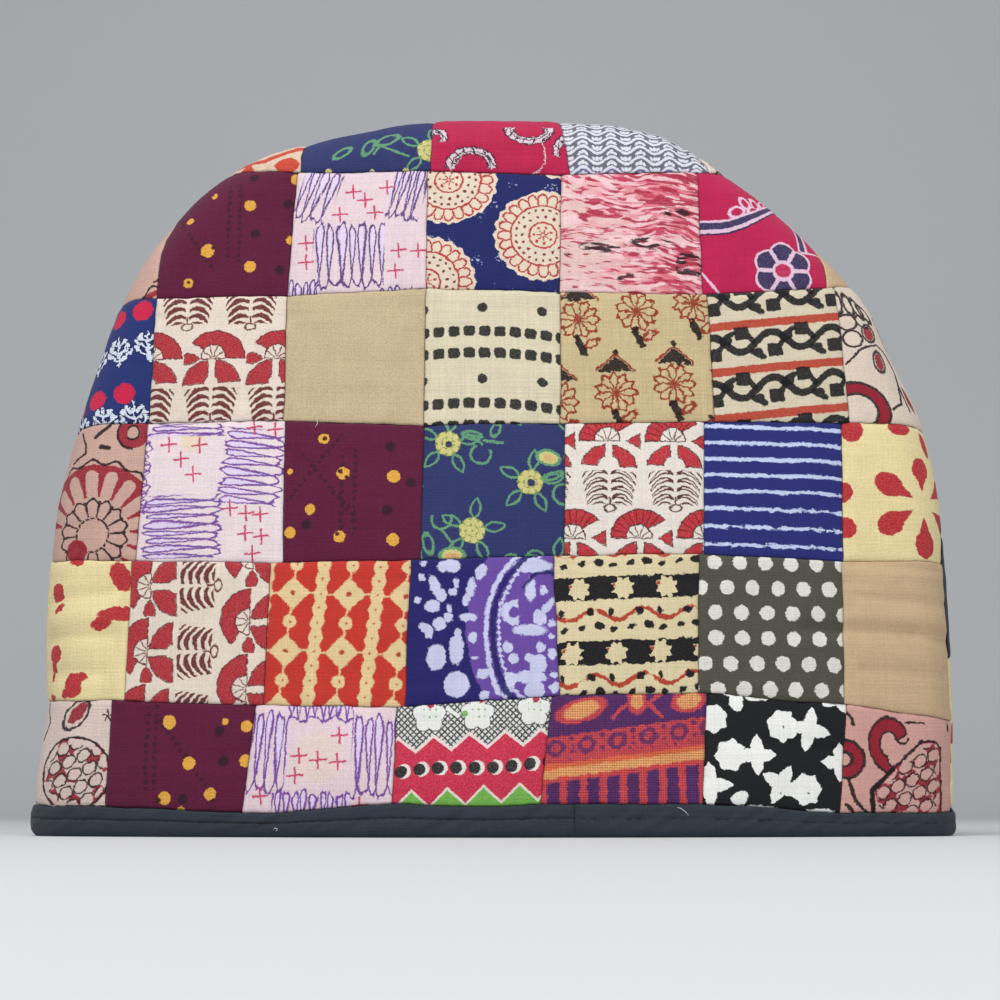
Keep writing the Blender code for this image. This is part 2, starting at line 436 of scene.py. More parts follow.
LINING_COLOUR = (0.30, 0.31, 0.33)
WALL_FOOT = 2.4                  # the wall ends in the fold of the hem binding
PRESSED = 11.0                   # the wall is pressed thinner below this, inside the binding
lining_cotton = cotton("lining_cotton", LINING_COLOUR, thread=0.5)
wall_seam = [p for p in SEAM if p.y > WALL_FOOT]
wall_seam = [Vector((-FOOT_HALF_WIDTH, WALL_FOOT))] + wall_seam + [Vector((FOOT_HALF_WIDTH, WALL_FOOT))]
for wall_name, node, side in (("front_wall", "front_panel", FRONT), ("back_wall", "back_panel", BACK)):
    wall = bmesh.new()
    bmesh.ops.create_grid(wall, x_segments=180, y_segments=44, size=0.5)
    for vert in wall.verts:
        # columns fan out from the hem to the side seam
        s, t = (vert.co.x + 0.5) * (len(wall_seam) - 1), vert.co.y + 0.5
        low = min(int(s), len(wall_seam) - 2)
        rim = wall_seam[low].lerp(wall_seam[low + 1], s - low)
        inward = seam_near(rim)[1]
        rim = rim - inward * EDGE_SLACK
        hem = Vector(((vert.co.x * 2) * (FOOT_HALF_WIDTH + EDGE_SLACK), WALL_FOOT))
        flat = hem.lerp(rim, t)
        vert.co = (flat.x, max(flat.y, WALL_FOOT), 0.0)
    bmesh.ops.remove_doubles(wall, verts=wall.verts, dist=0.05)
    bmesh.ops.dissolve_degenerate(wall, edges=wall.edges, dist=0.01)
    inner = bmesh.ops.duplicate(wall, geom=wall.verts[:] + wall.edges[:] + wall.faces[:])["geom"]
    for vert in [g for g in inner if isinstance(g, bmesh.types.BMVert)]:
        vert.co.z = 1.0
    bmesh.ops.bridge_loops(wall, edges=[edge for edge in wall.edges if edge.is_boundary])
    laid = wall.loops.layers.uv.new("cut")
    for face in wall.faces:
        for loop in face.loops:
            loop[laid].uv = loop.vert.co.xy
    for vert in wall.verts:
        flat = vert.co.xy
        free = min(max((flat.y - PRESSED) / 8, 0.0), 1.0)
        lift = slack(flat, side) * free
        lift += -CLOTH_BED if vert.co.z < 0.5 else -WALL + 0.6 * (1 - free)
        vert.co = on_wall(flat, lift, side)
    bmesh.ops.recalc_face_normals(wall, faces=wall.faces)
    piece = put_in_scene(wall_name, wall, lining_cotton)
    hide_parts(node)

# ---------------------------------------------------------------- pieced patches
# The outside is pieced from squares of printed cotton about 50 mm across, machine sewn
# edge to edge with the turnings pressed to one side, then drawn over the wadding. Each
# patch here is one thin piece of cloth whose edges roll down into the seams round it.
CELL = 1.35                      # spacing of the cloth's mesh in the middle of a patch
CLOTH = 0.45                     # thickness of the cotton
SEAM_GAP = 0.05                  # half the gap at a seam
CROWDING = 0.075                 # how far the cloth's mesh is drawn towards the seams
PUFF, PUFF_REACH = 0.75, 5.0     # a patch stands up this high, this soon after its seams
DIP_PRESSED, DIP_OPEN = 0.10, 0.34       # how deep its edge dips with and without turnings
TURNING_RISE, TURNING = 0.22, 6.0        # height and width of the turnings under one side
PUCKER, PUCKER_REACH = 0.36, 3.6         # small gathers along each seam
UPRIGHT, SIDE_SEAM = 20, 40      # added to tell upright seams, and the side seam, from rows
# Height of the seam under the crown row and of each seam below it, left to right
ROW_SEAMS = {
    FRONT: (
        ((-102.5, 251.0), (-90.0, 246.5), (-73.3, 244.4), (-25.0, 244.6), (24.3, 243.0), (76.0, 245.1),
         (84.0, 247.5), (91.4, 252.3)),
        ((-142.5, 198.0), (-125.0, 195.8), (-75.9, 195.3), (-24.8, 197.2), (24.1, 196.0),
         (77.4, 195.8), (123.3, 200.1), (138.2, 205.9)),
        ((-155.8, 148.8), (-125.5, 148.2), (-75.5, 147.4), (-24.9, 145.0), (24.7, 145.6),
         (77.7, 147.0), (128.0, 148.4), (154.3, 148.9)),
        ((-166.6, 99.5), (-161.7, 98.6), (-128.9, 97.2), (-76.4, 95.1), (-27.3, 95.6), (22.8, 97.0),
         (73.2, 98.2), (124.7, 96.7), (142.8, 97.6), (167.2, 98.4)),
        ((-160.5, 48.2), (-132.7, 47.4), (-80.9, 44.9), (-31.7, 44.1), (21.3, 47.8),
         (72.2, 49.2), (123.5, 45.6), (164.6, 41.0)),
        ((-163.3, 10.6), (-136.0, 10.0), (-85.9, 7.7), (-73.8, 7.9), (-63.9, 8.8), (-34.6, 10.8), (-2.9, 9.9),
         (15.9, 10.7), (71.2, 10.8), (96.8, 9.6), (119.6, 7.6), (166.2, 8.0)),
    ),
    BACK: (
        ((-90.0, 253.0), (-25.0, 254.5), (25.0, 253.5), (90.0, 254.0)),
        ((-140.0, 209.5), (-76.0, 208.5), (-25.0, 210.0), (26.0, 209.0), (77.0, 210.5), (140.0, 209.0)),
        ((-155.0, 160.5), (-76.0, 161.5), (-25.0, 159.5), (26.0, 160.5), (77.0, 159.0), (155.0, 161.0)),
        ((-164.0, 110.0), (-76.0, 111.0), (-25.0, 110.5), (26.0, 109.0), (77.0, 110.5), (164.0, 110.0)),
        ((-167.0, 62.0), (-76.0, 61.0), (-25.0, 62.5), (26.0, 61.5), (77.0, 60.5), (167.0, 64.0)),
        ((-167.0, 10.6), (-76.0, 10.3), (26.0, 10.8), (167.0, 10.2)),
    ),
}
# Reach of each upright seam at the top and the bottom of its row; seam k has column k on
# its right
COLUMN_SEAMS = {
    FRONT: (
        {2: (-72.7, -72.2), 3: (-23.4, -23.7), 4: (25.5, 28.3), 5: (79.8, 81.6)},
        {1: (-125.5, -125.0), 2: (-73.3, -75.9), 3: (-25.0, -24.8), 4: (25.1, 23.9), 5: (76.0, 76.5),
         6: (133.0, 123.3)},
        {1: (-125.0, -125.5), 2: (-75.9, -75.8), 3: (-24.8, -25.1), 4: (24.3, 23.8), 5: (78.5, 79.5),
         6: (126.6, 129.5)},
        {1: (-125.9, -128.2), 2: (-75.2, -74.2), 3: (-24.9, -25.7), 4: (25.3, 24.8), 5: (75.6, 74.2),
         6: (126.5, 124.9)},
        {1: (-129.6, -130.3), 2: (-78.7, -79.7), 3: (-29.0, -30.3), 4: (20.9, 22.7), 5: (72.3, 70.7),
         6: (124.3, 123.1)},
        {1: (-135.2, -136.0), 2: (-82.2, -85.9), 3: (-33.1, -34.4), 4: (19.9, 15.9), 5: (73.7, 71.2),
         6: (124.0, 120.2)},
    ),
    BACK: (
        {2: (-76.0, -75.4), 3: (-25.2, -24.6), 4: (25.0, 26.2), 5: (76.4, 76.0)},
        {2: (-77.2, -76.4), 3: (-26.0, -25.2), 4: (24.4, 25.8), 5: (75.4, 76.8)},
        {1: (-128.0, -127.0), 2: (-76.2, -75.0), 3: (-24.6, -25.6), 4: (26.4, 25.4), 5: (77.6, 76.6),
         6: (127.4, 128.6)},
        {1: (-126.0, -127.4), 2: (-75.6, -76.8), 3: (-26.0, -25.0), 4: (25.0, 26.0), 5: (76.0, 77.4),
         6: (127.0, 126.2)},
        {1: (-127.2, -128.4), 2: (-77.0, -76.2), 3: (-25.2, -26.4), 4: (26.2, 25.0), 5: (77.0, 75.8),
         6: (128.4, 127.0)},
        {1: (-128.6, -127.8), 2: (-76.0, -77.0), 3: (-26.2, -25.4), 4: (25.2, 26.2), 5: (76.0, 77.2),
         6: (127.4, 128.6)},
    ),
}


def seam_pull(side, foot):
    """How far the side seam lies round towards the front, low on the right-hand edge."""
    if foot.x < 0:
        return 0.0
    share = min(max((150.0 - foot.y) / 60.0, 0.0), 1.0)
    return -side * 8.3 * share * share * (3 - 2 * share)


CUT_LINES = {
    side: [p - n * (EDGE_SLACK - seam_pull(side, p)) for p, n in zip(SEAM, SEAM_INWARD)]
    for side in (FRONT, BACK)
}


def row_seam(side, row, x):
    """Height of the seam above a row of patches."""
    if row == 0:
        return 300.0
    wander = 0.4 * noise.noise(Vector((x / 17, row * 9.1, side * 5.0)))
    wander += 0.22 * noise.noise(Vector((x / 4.5, row * 5.3, side * 5.0)))
    return between(ROW_SEAMS[side][row - 1], x) + wander + (0.4 if row == 6 else 0.0)


def column_seam(side, row, k, z):
    """Reach of an upright seam at height z."""
    top, bottom = COLUMN_SEAMS[side][row][k]
    z_top = row_seam(side, row, top) if row else 266.0
    z_bottom = row_seam(side, row + 1, bottom)
    wander = 0.4 * noise.noise(Vector((z / 17, row * 7.3 + k * 3.1, side * 4.0)))
    wander += 0.22 * noise.noise(Vector((z / 4.5, row * 4.7 + k * 5.9, side * 4.0)))
    return bottom + (top - bottom) * (z - z_bottom) / (z_top - z_bottom) + wander


def sew(side, row, column, fabric, turn=0.0, at=(0.0, 0.0)):
    """Cuts one patch, sews it in its place, and lays its print turned and moved by at."""
    seams = COLUMN_SEAMS[side][row]
    cut_line = CUT_LINES[side]
    on_left = column in seams
    on_right = column + 1 in seams
    clipped = row < 2

    def side_reach(hand, z):
        """Reach of the side seam at height z."""
        line = [(p.y, p.x) for p in cut_line if (p.x <= 0) == (hand < 0)]
        return between(sorted(line), z)

    def left(z):
        """Reach of the patch's left edge at height z."""
        if on_left:
            return column_seam(side, row, column, z)
        return low_reach if clipped else side_reach(-1, z)

    def right(z):
        """Reach of the patch's right edge at height z."""
        if on_right:
            return column_seam(side, row, column + 1, z)
        return high_reach if clipped else side_reach(1, z)

    foot_z = row_seam(side, row + 1, 0.0)
    low_reach, high_reach = side_reach(-1, foot_z) - 2.0, side_reach(1, foot_z) + 2.0
    inner = [left(foot_z + 2), right(foot_z + 2)]
    ceiling = max(p.y for p in cut_line if inner[0] - 3 <= p.x <= inner[1] + 3) + 1.0

    def top(x):
        return min(row_seam(side, row, x), ceiling)

    def bottom(x):
        return row_seam(side, row + 1, x)

    middle = (inner[0] + inner[1]) / 2
    tall = top(middle) - bottom(middle)
    columns = max(8, round((inner[1] - inner[0]) / CELL))
    rows = max(8, round(tall / CELL))
    patch = bmesh.new()
    bmesh.ops.create_grid(patch, x_segments=columns, y_segments=rows, size=0.5)
    gap_x, gap_z = SEAM_GAP / (inner[1] - inner[0]), SEAM_GAP / tall
    for vert in patch.verts:
        s, t = vert.co.x + 0.5, vert.co.y + 0.5
        s -= CROWDING * math.sin(2 * math.pi * s)
        t -= CROWDING * math.sin(2 * math.pi * t)
        s, t = gap_x + s * (1 - 2 * gap_x), gap_z + t * (1 - 2 * gap_z)
        x = middle
        for _ in range(3):
            z = bottom(x) + (top(x) - bottom(x)) * t
            x = left(z) + (right(z) - left(z)) * s
        vert.co = (x, z, 0.0)
    if clipped:
        for a, b in zip(cut_line, cut_line[1:]):
            if min(a.y, b.y) > 185 and max(a.x, b.x) > inner[0] - 40 and min(a.x, b.x) < inner[1] + 40:
                outward = Vector((a.y - b.y, b.x - a.x, 0.0)).normalized()
                bmesh.ops.bisect_plane(
                    patch, geom=patch.verts[:] + patch.edges[:] + patch.faces[:], dist=1e-4,
                    plane_co=(a.x, a.y, 0.0), plane_no=outward, clear_outer=True)
        bmesh.ops.remove_doubles(patch, verts=patch.verts, dist=0.12)
    spread = [max(v.co[i] for v in patch.verts) - min(v.co[i] for v in patch.verts) for i in (0, 1)]
    area = sum(face.calc_area() for face in patch.faces)
    # the print lies square with the patch
    centre = Vector((middle, (bottom(middle) + min(top(middle), bottom(middle) + 50)) / 2))
    grain = [math.cos(math.radians(turn)), math.sin(math.radians(turn))]
    laid = patch.loops.layers.uv.new("cut")
    for face in patch.faces:
        for loop in face.loops:
            x, z = loop.vert.co.x - centre.x, loop.vert.co.y - centre.y
            loop[laid].uv = (x * grain[0] + z * grain[1] + at[0], z * grain[0] - x * grain[1] + at[1])
    for vert in patch.verts:
        flat = Vector((vert.co.x, vert.co.y))
        foot, inward, depth_in = seam_near(flat)
        edge = depth_in + EDGE_SLACK - seam_pull(side, foot)
        sides = [(flat.y - bottom(flat.x), flat.x, row + 1, 1)]
        if row:
            sides.append((row_seam(side, row, flat.x) - flat.y, flat.x, row, 0))
        if on_left:
            sides.append((flat.x - column_seam(side, row, column, flat.y), flat.y, UPRIGHT + column, 1))
        if on_right:
            sides.append((column_seam(side, row, column + 1, flat.y) - flat.x, flat.y,
                          UPRIGHT + column + 1, 0))
        sides.append((edge, flat.x + flat.y, SIDE_SEAM, 0))
        puff, dip = PUFF, 0.0
        for away, along, seam, hand in sides:
            away = max(away, 0.0)
            pressed = (seam + (row if seam >= UPRIGHT else 0)) % 2 == hand
            puff *= 1 - math.exp(-away / PUFF_REACH)
            dip += (DIP_PRESSED if pressed else DIP_OPEN) * math.exp(-away / 0.7)
            if pressed and seam != SIDE_SEAM:
                dip -= TURNING_RISE * (1 - math.exp(-away / 0.6)) / (1 + math.exp((away - TURNING) / 0.5))
            ripple = noise.noise(Vector((along / 3.2, seam * 7.7 + row * 3.3, side * 2.0)))
            dip += PUCKER * ripple * math.exp(-away / PUCKER_REACH)
        lift = slack(flat, side) * min(max((flat.y - 11.5) / 8, 0.0), 1.0) + puff - min(dip, 0.85)
        vert.co = on_wall(flat, lift, side)
    bmesh.ops.recalc_face_normals(patch, faces=patch.faces)
    facing = sum(face.normal.y * face.calc_area() for face in patch.faces)
    if facing * side < 0:
        bmesh.ops.reverse_faces(patch, faces=patch.faces)
    name = f"{'front' if side == FRONT else 'back'}_r{row}_c{column}_{fabric.name}"
    piece = put_in_scene(name, patch, fabric)
    thick = piece.modifiers.new("cloth", "SOLIDIFY")
    thick.thickness = CLOTH * MM
    thick.offset = -1.0
    [max(s, 10.1) * MM for s in spread]
    min(area, spread[0] * spread[1]) * MM * MM
    return piece


def far(u, v):
    """Distance of (u, v) from the middle."""
    join = Mark.tree.nodes.new("ShaderNodeCombineXYZ")
    for socket, mark in zip(join.inputs, (u, v)):
        Mark.tree.links.new(mark.socket, socket)
    length = Mark.tree.nodes.new("ShaderNodeVectorMath")
    length.operation = "LENGTH"
    Mark.tree.links.new(join.outputs[0], length.inputs[0])
    return Mark(length.outputs["Value"])


def turned(u, v, degrees):
    """The same place in a frame turned by some degrees to the left."""
    c, s = math.cos(math.radians(degrees)), math.sin(math.radians(degrees))
    return u * c + v * s, v * c - u * s


def beat(x, pitch, start=0.0):
    """Place within one repeat of a pattern, from -pitch / 2 to pitch / 2."""
    return work("WRAP", x - start, pitch / 2, -pitch / 2)


def lattice(u, v, start, right, down):
    """Place within the nearest motif of a block print that repeats by two steps."""
    size = right[0] * down[1] - right[1] * down[0]
    u, v = u - start[0], v - start[1]
    i = u * (down[1] / size) - v * (down[0] / size)
    j = v * (right[0] / size) - u * (right[1] / size)
    i, j = i - work("ROUND", i), j - work("ROUND", j)
    return i * right[0] + j * down[0], i * right[1] + j * down[1]


def around(u, v, parts, start=0.0):
    """(distance out, place across) within one of the equal parts of a round motif."""
    out = far(u, v)
    angle = beat(work("ARCTAN2", v, u), 2 * math.pi / parts, math.radians(start))
    return out, angle * out


def disc(u, v, x, y, r):
    return r - far(u - x, v - y)


def within(x, low, high):
    return (high - low) / 2 - abs(x - (low + high) / 2)


def line(d, wide):
    return wide / 2 - abs(d)


def oval(u, v, x, y, a, b, lean=0.0):
    """An oval of half width a and half height b, its long way turned by lean degrees."""
    u, v = turned(u - x, v - y, lean) if lean else (u - x, v - y)
    return (1.0 - far(u * (1 / a), v * (1 / b))) * min(a, b)


def stroke(u, v, x0, y0, x1, y1, wide):
    """A round-ended stroke of the brush from one point to another."""
    along, aside = turned(u - x0, v - y0, math.degrees(math.atan2(y1 - y0, x1 - x0)))
    past = along - least(most(along, 0.0), math.hypot(x1 - x0, y1 - y0))
    return wide / 2 - far(past, aside)


def many(shape, u, v, places):
    """The same kind of shape in several places."""
    found = shape(u, v, *places[0])
    for place in places[1:]:
        found = either(found, shape(u, v, *place))
    return found


def outline(u, v, x, y, a, b, lean=0.0, wide=0.85):
    """The drawn edge of an oval."""
    return line(oval(u, v, x, y, a, b, lean), wide)


# Maroon twill with stamped yellow spots, soft black ones, and faint beaded lines between
def maroon_print(yellow, bitten, dark, chains):
    """Yellow spots with bites out of them, dark spots, and chains of fading beads."""
    def printed(u, v):
        for x, y, lean in chains:
            a, b = turned(u - x, v - y, lean)
            faded = clear(abs(b) - 17, 4) * 3 + cloud(1.6, shift=x) * 1.8
            yield (0.26, 0.06, 0.15), 1.7 - far(a, beat(b, 2.6)) - faded
        yield (0.20, 0.07, 0.14), many(disc, u, v, [(x, y, 1.8) for x, y in dark]) * 0.5
        yield (0.90, 0.67, 0.27), many(disc, u, v, yellow)
        yield (0.22, 0.08, 0.12), many(disc, u, v, bitten)
    return printed


MAROON = (0.37, 0.075, 0.215)
MAROON_TWILL = dict(thread=0.5, twill=True, coarse=0.7, slub=0.16, speck=0.9)
maroon_a = cotton("maroon_spot_a", MAROON, maroon_print(
    ((-10.8, 19.9, 1.9), (-22.9, 7.9, 1.1), (-3.6, 6.8, 2.3), (14.4, 5.4, 2.3), (-15.1, -6.2, 1.9),
     (-22.1, -14.5, 2), (-4.5, -16.2, 2.1), (14.6, -17.6, 2.2)),
    ((-10.6, 20, 0.9), (-4.6, 7.6, 0.9), (-2.2, 5.4, 0.7), (-5.2, -15.2, 0.8)),
    ((13, 16.6), (20.6, 3.2), (12.3, -7), (-16.4, -11.7)),
    ((-4, 0, 0), (0.6, 0, 0), (-14, 9, -38), (-10, 4, 40))),
    **MAROON_TWILL)
maroon_b = cotton("maroon_spot_b", MAROON, maroon_print(
    ((-4.7, 16, 1.3), (-13.5, 5.9, 1.5), (9.4, 10.8, 2.1), (-6, -6.8, 2.6), (10.2, -13.5, 2.2),
     (-12.8, -19.3, 1.9), (26.5, 21.2, 2.2), (24.9, -3.2, 1.6)),
    ((-5.5, 16.6, 0.5), (-4, -5.6, 0.8), (-12.8, -18.8, 0.6)),
    ((23.6, 11.2), (11.6, -0.4), (21.1, -15.1), (10.4, 22.2)),
    ((1.6, 4, 0), (5.6, 4, 0), (-12, -2, 34))),
    **MAROON_TWILL)
maroon_c = cotton("maroon_spot_c", MAROON, maroon_print(
    ((-2.5, 11.8, 2.4), (17.8, 11.7, 1.1), (25.4, 10.1, 2), (5.2, -2.5, 2.3), (25.5, -1.9, 2.2),
     (-3.2, -14.5, 2.3), (13.2, -13.1, 2.1), (2.8, -18.9, 1.6)),
    ((-5.4, -15.2, 1), (14.4, -15.4, 0.6)),
    ((17.5, -2), (3.4, -14.8), (15.8, 8.4)),
    ((-10.5, 4, 0), (-7.3, 4, 0), (2, 2, 38))),
    **MAROON_TWILL)
sew(FRONT, 1, 1, maroon_b)
sew(FRONT, 3, 2, maroon_a)
sew(FRONT, 5, 1, maroon_c)


# Pale pink lawn scribbled with tall purple loops in blocks, and with crimson crosses
def loops(u, v, x, y, wide, tall, lean, pitch=3.5):
    """(ink, inside) of one block of tall loops, scribbled in one go from side to side."""
    a, b = turned(u - x, v - y, lean)
    block = wide / 2 - abs(a)
    reach = sine(a * 0.83 + x) * 0.9 + sine(a * 2.3) * 0.5 + (tall / 2 - 1)
    a = a + (cloud(5, shift=x, place=(a, b * 0.12)) - 0.5) * 3
    share = most(least(b / reach, 1), -1)
    square = share * share
    level = work("SQRT", most(1 - square * square * square, 0.0006))
    drift, swing = share * (pitch / 4), level * (pitch * 0.46)
    slope = (pitch * 0.25 - square * square * share * (pitch * 1.38) / level) / reach
    wide_pen = least(work("SQRT", slope * slope + 1) * 0.33, pitch * 0.27)
    up, down = beat(a - drift - swing, pitch), beat(a + drift + swing - pitch / 2, pitch)
    inside = drift + swing - pitch / 4 - abs(beat(a, pitch, pitch / 4))
    pen = either(wide_pen - abs(up), wide_pen - abs(down))
    return both(pen, block, reach + 0.45 - abs(b)), both(inside, block)


def cross(u, v, x, y):
    a, b = turned(u - x, v - y, 4)
    a, b = abs(a), abs(b)
    return either(both(3 - a, 0.34 - b), both(3 - b, 0.34 - a))


def scribble_print(ink, blocks, crosses, stain, tint):
    """Blocks of loops and single crosses over a soft stain of another tint."""
    def printed(u, v):
        yield tint, (disc(u, v, *stain) + 1) * 0.12
        for block in blocks:
            line_here, inside = loops(u, v, *block)
            yield (0.89, 0.82, 0.93), inside
            yield ink, line_here
        yield (0.78, 0.17, 0.37), many(cross, u, v, crosses)
    return printed


LAWN = (0.90, 0.81, 0.83)
LOOP_PURPLE = (0.45, 0.22, 0.60)
scribble_a = cotton("scribble_loop_a", LAWN, scribble_print(
    (0.33, 0.20, 0.48),
    ((-15.6, 14.6, 14, 23, -18, 3.6), (18.2, 15.2, 12.6, 23, -14, 3), (-3.4, -9.6, 26.4, 26, 0, 3.9),
     (-19.6, -26, 11, 13, 0, 2.6), (14.2, -28.4, 12, 13, 0, 2.6)),
    ((-2.2, 16), (10.4, 17.6), (2.2, 12.6), (-7, 6.8), (6, 7.4), (-19.2, -4.4), (-19, -12),
     (15, -7.8), (14, -15.9), (22.3, -8.1)), (4, 2, 0.5), LAWN), thread=0.4, coarse=0.4)
scribble_b = cotton("scribble_loop_b", (0.92, 0.85, 0.86), scribble_print(
    LOOP_PURPLE,
    ((-10.2, -12, 23, 29, 90, 2.9), (14.8, 9.3, 28, 23, 84, 3.4), (-9.5, 23.8, 4.6, 28, 88, 2.6),
     (-25.4, 8, 30, 5, 90, 2.6)),
    ((-16.4, 18.5), (-4.9, 17.8), (-11.6, 12.8), (-6.9, 7), (7.2, -5.9), (13.1, -7.9), (18.2, -8.4),
     (13, -15.2), (18.8, -16.4), (15.8, -22.5), (15, 24), (22.6, 23)),
    (-7.7, 19.6, 3.2), (0.92, 0.83, 0.72)), thread=0.5, coarse=0.5)
scribble_c = cotton("scribble_loop_c", LAWN, scribble_print(
    LOOP_PURPLE,
    ((-18.6, 2, 15.4, 28.5, -4.5, 3.6), (19.8, 0.2, 16.4, 28, -1, 3.3), (0.6, 16.4, 23, 9, 0, 2.7),
     (-2.4, -17.2, 27, 12, -2, 3)),
    ((7.2, 7.5), (-6.6, 0.6), (0, -0.9), (6.8, -1.5), (-7.9, -6.1), (-19.8, -13), (14.6, -16.2)),
    (0, 0, 8), (0.91, 0.82, 0.79)), thread=0.45, coarse=0.45)
sew(FRONT, 1, 2, scribble_a)
sew(FRONT, 3, 1, scribble_b)
sew(FRONT, 5, 2, scribble_c)


# Navy cotton block printed with cream medallions, their petals and dots drawn in red
MEDALLION_RED, MEDALLION_DARK = (0.70, 0.12, 0.16), (0.46, 0.08, 0.12)


def medallion_print(u, v):
    yield (0.62, 0.65, 0.78), (cloud(0.9, shift=17) - 0.72) * 5 + (cloud(7, shift=3) - 0.6) * 6
    x, y = lattice(u, v, (18.4, -2), (-34.9, 22.5), (-42.8, -18.4))
    out, aside = around(x, y, 24)
    yield (0.91, 0.84, 0.75), 17.9 + 0.35 * cosine(aside * (24 / 17.5)) - out
    yield MEDALLION_RED, either(
        both(abs(aside) - out * (math.pi / 24) + 0.35, within(out, 11.9, 15)),
        both(line(far(most(out - 15, 0), aside) - 1.55, 0.7), out - 14.8),
        line(out - 11.9, 0.7), line(out - 5.1, 0.7))
    yield MEDALLION_DARK, 0.5 - far(out - 10.1, aside * 0.9)
    out, aside = around(x, y, 15, 9)
    yield MEDALLION_DARK, 0.6 - far(out - 7.6, aside)
    out, aside = around(x, y, 7, 20)
    yield MEDALLION_RED, either(both(line(aside, 0.5), within(out, 0.4, 2.3)), 0.55 - far(out - 3.3, aside))


navy_medallion = cotton("navy_medallion", (0.11, 0.14, 0.38), medallion_print, shake=0.35)
sew(FRONT, 1, 3, navy_medallion)


# Pale cotton covered with quick strokes of rose and red, thickest towards one side
def brush_print(u, v):
    flow = v + (cloud(15, shift=5) - 0.5) * 9 + u * 0.10
    depth = cloud(9, 2, (0.6, 1.3), 2) + (u + v * 0.6 + 2) * 0.010
    yield (0.91, 0.62, 0.65), (depth - 0.44) * 3
    yield (0.87, 0.48, 0.54), (depth - 0.58) * 3
    for ink, size, shift, share in (
        ((0.95, 0.80, 0.81), 2.2, 1, 0.56), ((0.76, 0.25, 0.36), 1.7, 8, 0.59),
        ((0.94, 0.76, 0.78), 1.6, 14, 0.60), ((0.68, 0.18, 0.28), 1.4, 21, 0.62),
    ):
        field = cloud(size, 1, (0.22, 1), shift, place=(u, flow))
        yield ink, (field - share) * (4 * size) + (depth - 0.52) * 1.4 + (cloud(6, shift=shift) - 0.5)
    field = cloud(1.5, 1, (0.24, 1), 31, place=(u, flow))
    yield (0.15, 0.08, 0.10), both((field - 0.52) * 5, many(oval, u, v, (
        (-10, -6, 9, 2.4, 0), (9, -4.6, 9, 2.4, -5), (21.5, -13, 5, 6, 0),
        (18, 8, 6, 1.8, 10), (-2, -18, 3.4, 1.3, 15), (-23, -8.6, 2, 1, 40))))


rose_brush = cotton("rose_brush", (0.90, 0.76, 0.74), brush_print, soft=0.3, worn=0.15, shake=0.1)
sew(FRONT, 1, 4, rose_brush)


# Crimson cotton with a navy flower on its stem and a curved navy band, edged in white
CRIMSON, PINK_WHITE, INK_NAVY = (0.74, 0.11, 0.31), (0.91, 0.78, 0.86), (0.17, 0.15, 0.33)


def crimson_print(u, v):
    rise = most(u + 19, 0)
    band = v - rise * rise * 0.0198
    yield INK_NAVY, line(band + 1.6, 3.6)
    yield PINK_WHITE, line(band, 5.2)
    yield INK_NAVY, line(band - 0.3, 2.7)
    lobes = ((-9.5, 6.2, 2.9, 2, 20), (-6.1, 10.4, 2.6, 1.7, 120), (-2.7, 8, 2.6, 1.5, 40),
             (-1.7, 11.2, 2.6, 1.5, 110), (2.3, 13.2, 2.4, 1.3, 60))
    yield PINK_WHITE, both(line(many(oval, u, v, lobes), 0.9), band - 2.4)
    x, y = u - 7.2, v + 16.6
    yield PINK_WHITE, both(stroke(u, v, 15.6, -9, 17, 5, 4.4), v + 8)
    yield INK_NAVY, stroke(u, v, 15.6, -7, 16.8, 5, 2.3)
    out, aside = around(x, y, 6, 30)
    end = out + aside * aside * 0.08
    yield PINK_WHITE, 11.6 - end
    yield INK_NAVY, both(0.523 * out - 0.75 - abs(aside), within(end, 4.2, 10.6))
    yield CRIMSON, 2.7 - far(x * 0.9, y)
    yield PINK_WHITE, either(stroke(u, v, -24.5, -17, -17, -26.5, 1), stroke(u, v, 15, -8.5, 24, -6.5, 1))


crimson_flower = cotton("crimson_flower", CRIMSON, crimson_print, shake=0.2, coarse=0.6)
sew(FRONT, 1, 5, crimson_flower)


# The same crimson cloth cut from another place, with white paisleys outlined in ink
def paisley_print(u, v):
    for x, y, a, b, up in (
            (-10.7, -20, 9, 7, 1), (11, -4.6, 9, 6.6, -1), (26, -15, 6, 8, 1),
            (-24.5, -9, 4.6, 4.8, 1), (0, 12, 9, 6, 1)):
        rim, half = oval(u, v, x, y, a, b), (v - y) * up + 1.5
        yield (0.20, 0.09, 0.20), both(line(rim - 1.1, 3.2), half)
        yield (0.89, 0.82, 0.84), both(line(rim - 1.1, 2.2), half, 1.5 - abs(beat(u * up + v * 0.7, 3.6)))
        yield (0.20, 0.09, 0.20), both(line(rim - 1.5, 0.4), half)
    yield (0.90, 0.80, 0.82), either(
        both(line(disc(u, v, 8, -16, 9), 0.35), u - 12), stroke(u, v, -19, -23, -13, -15, 0.3))


crimson_paisley = cotton("crimson_paisley", (0.74, 0.12, 0.30), paisley_print, coarse=0.9, slub=0.2,
                         shake=0.7)
sew(FRONT, 0, 3, crimson_paisley, at=(0, -5))


# Fine tan cotton without a print
tan_plain = cotton("tan_plain", (0.78, 0.70, 0.56), thread=0.5, coarse=0.7, slub=0.08, speck=0.7)
tan_twill = cotton("tan_twill", (0.80, 0.685, 0.54), thread=0.5, twill=True, coarse=0.6, slub=0.12)
sew(FRONT, 2, 2, tan_plain)
sew(FRONT, 4, 6, tan_twill)
sew(FRONT, 1, 6, tan_twill)


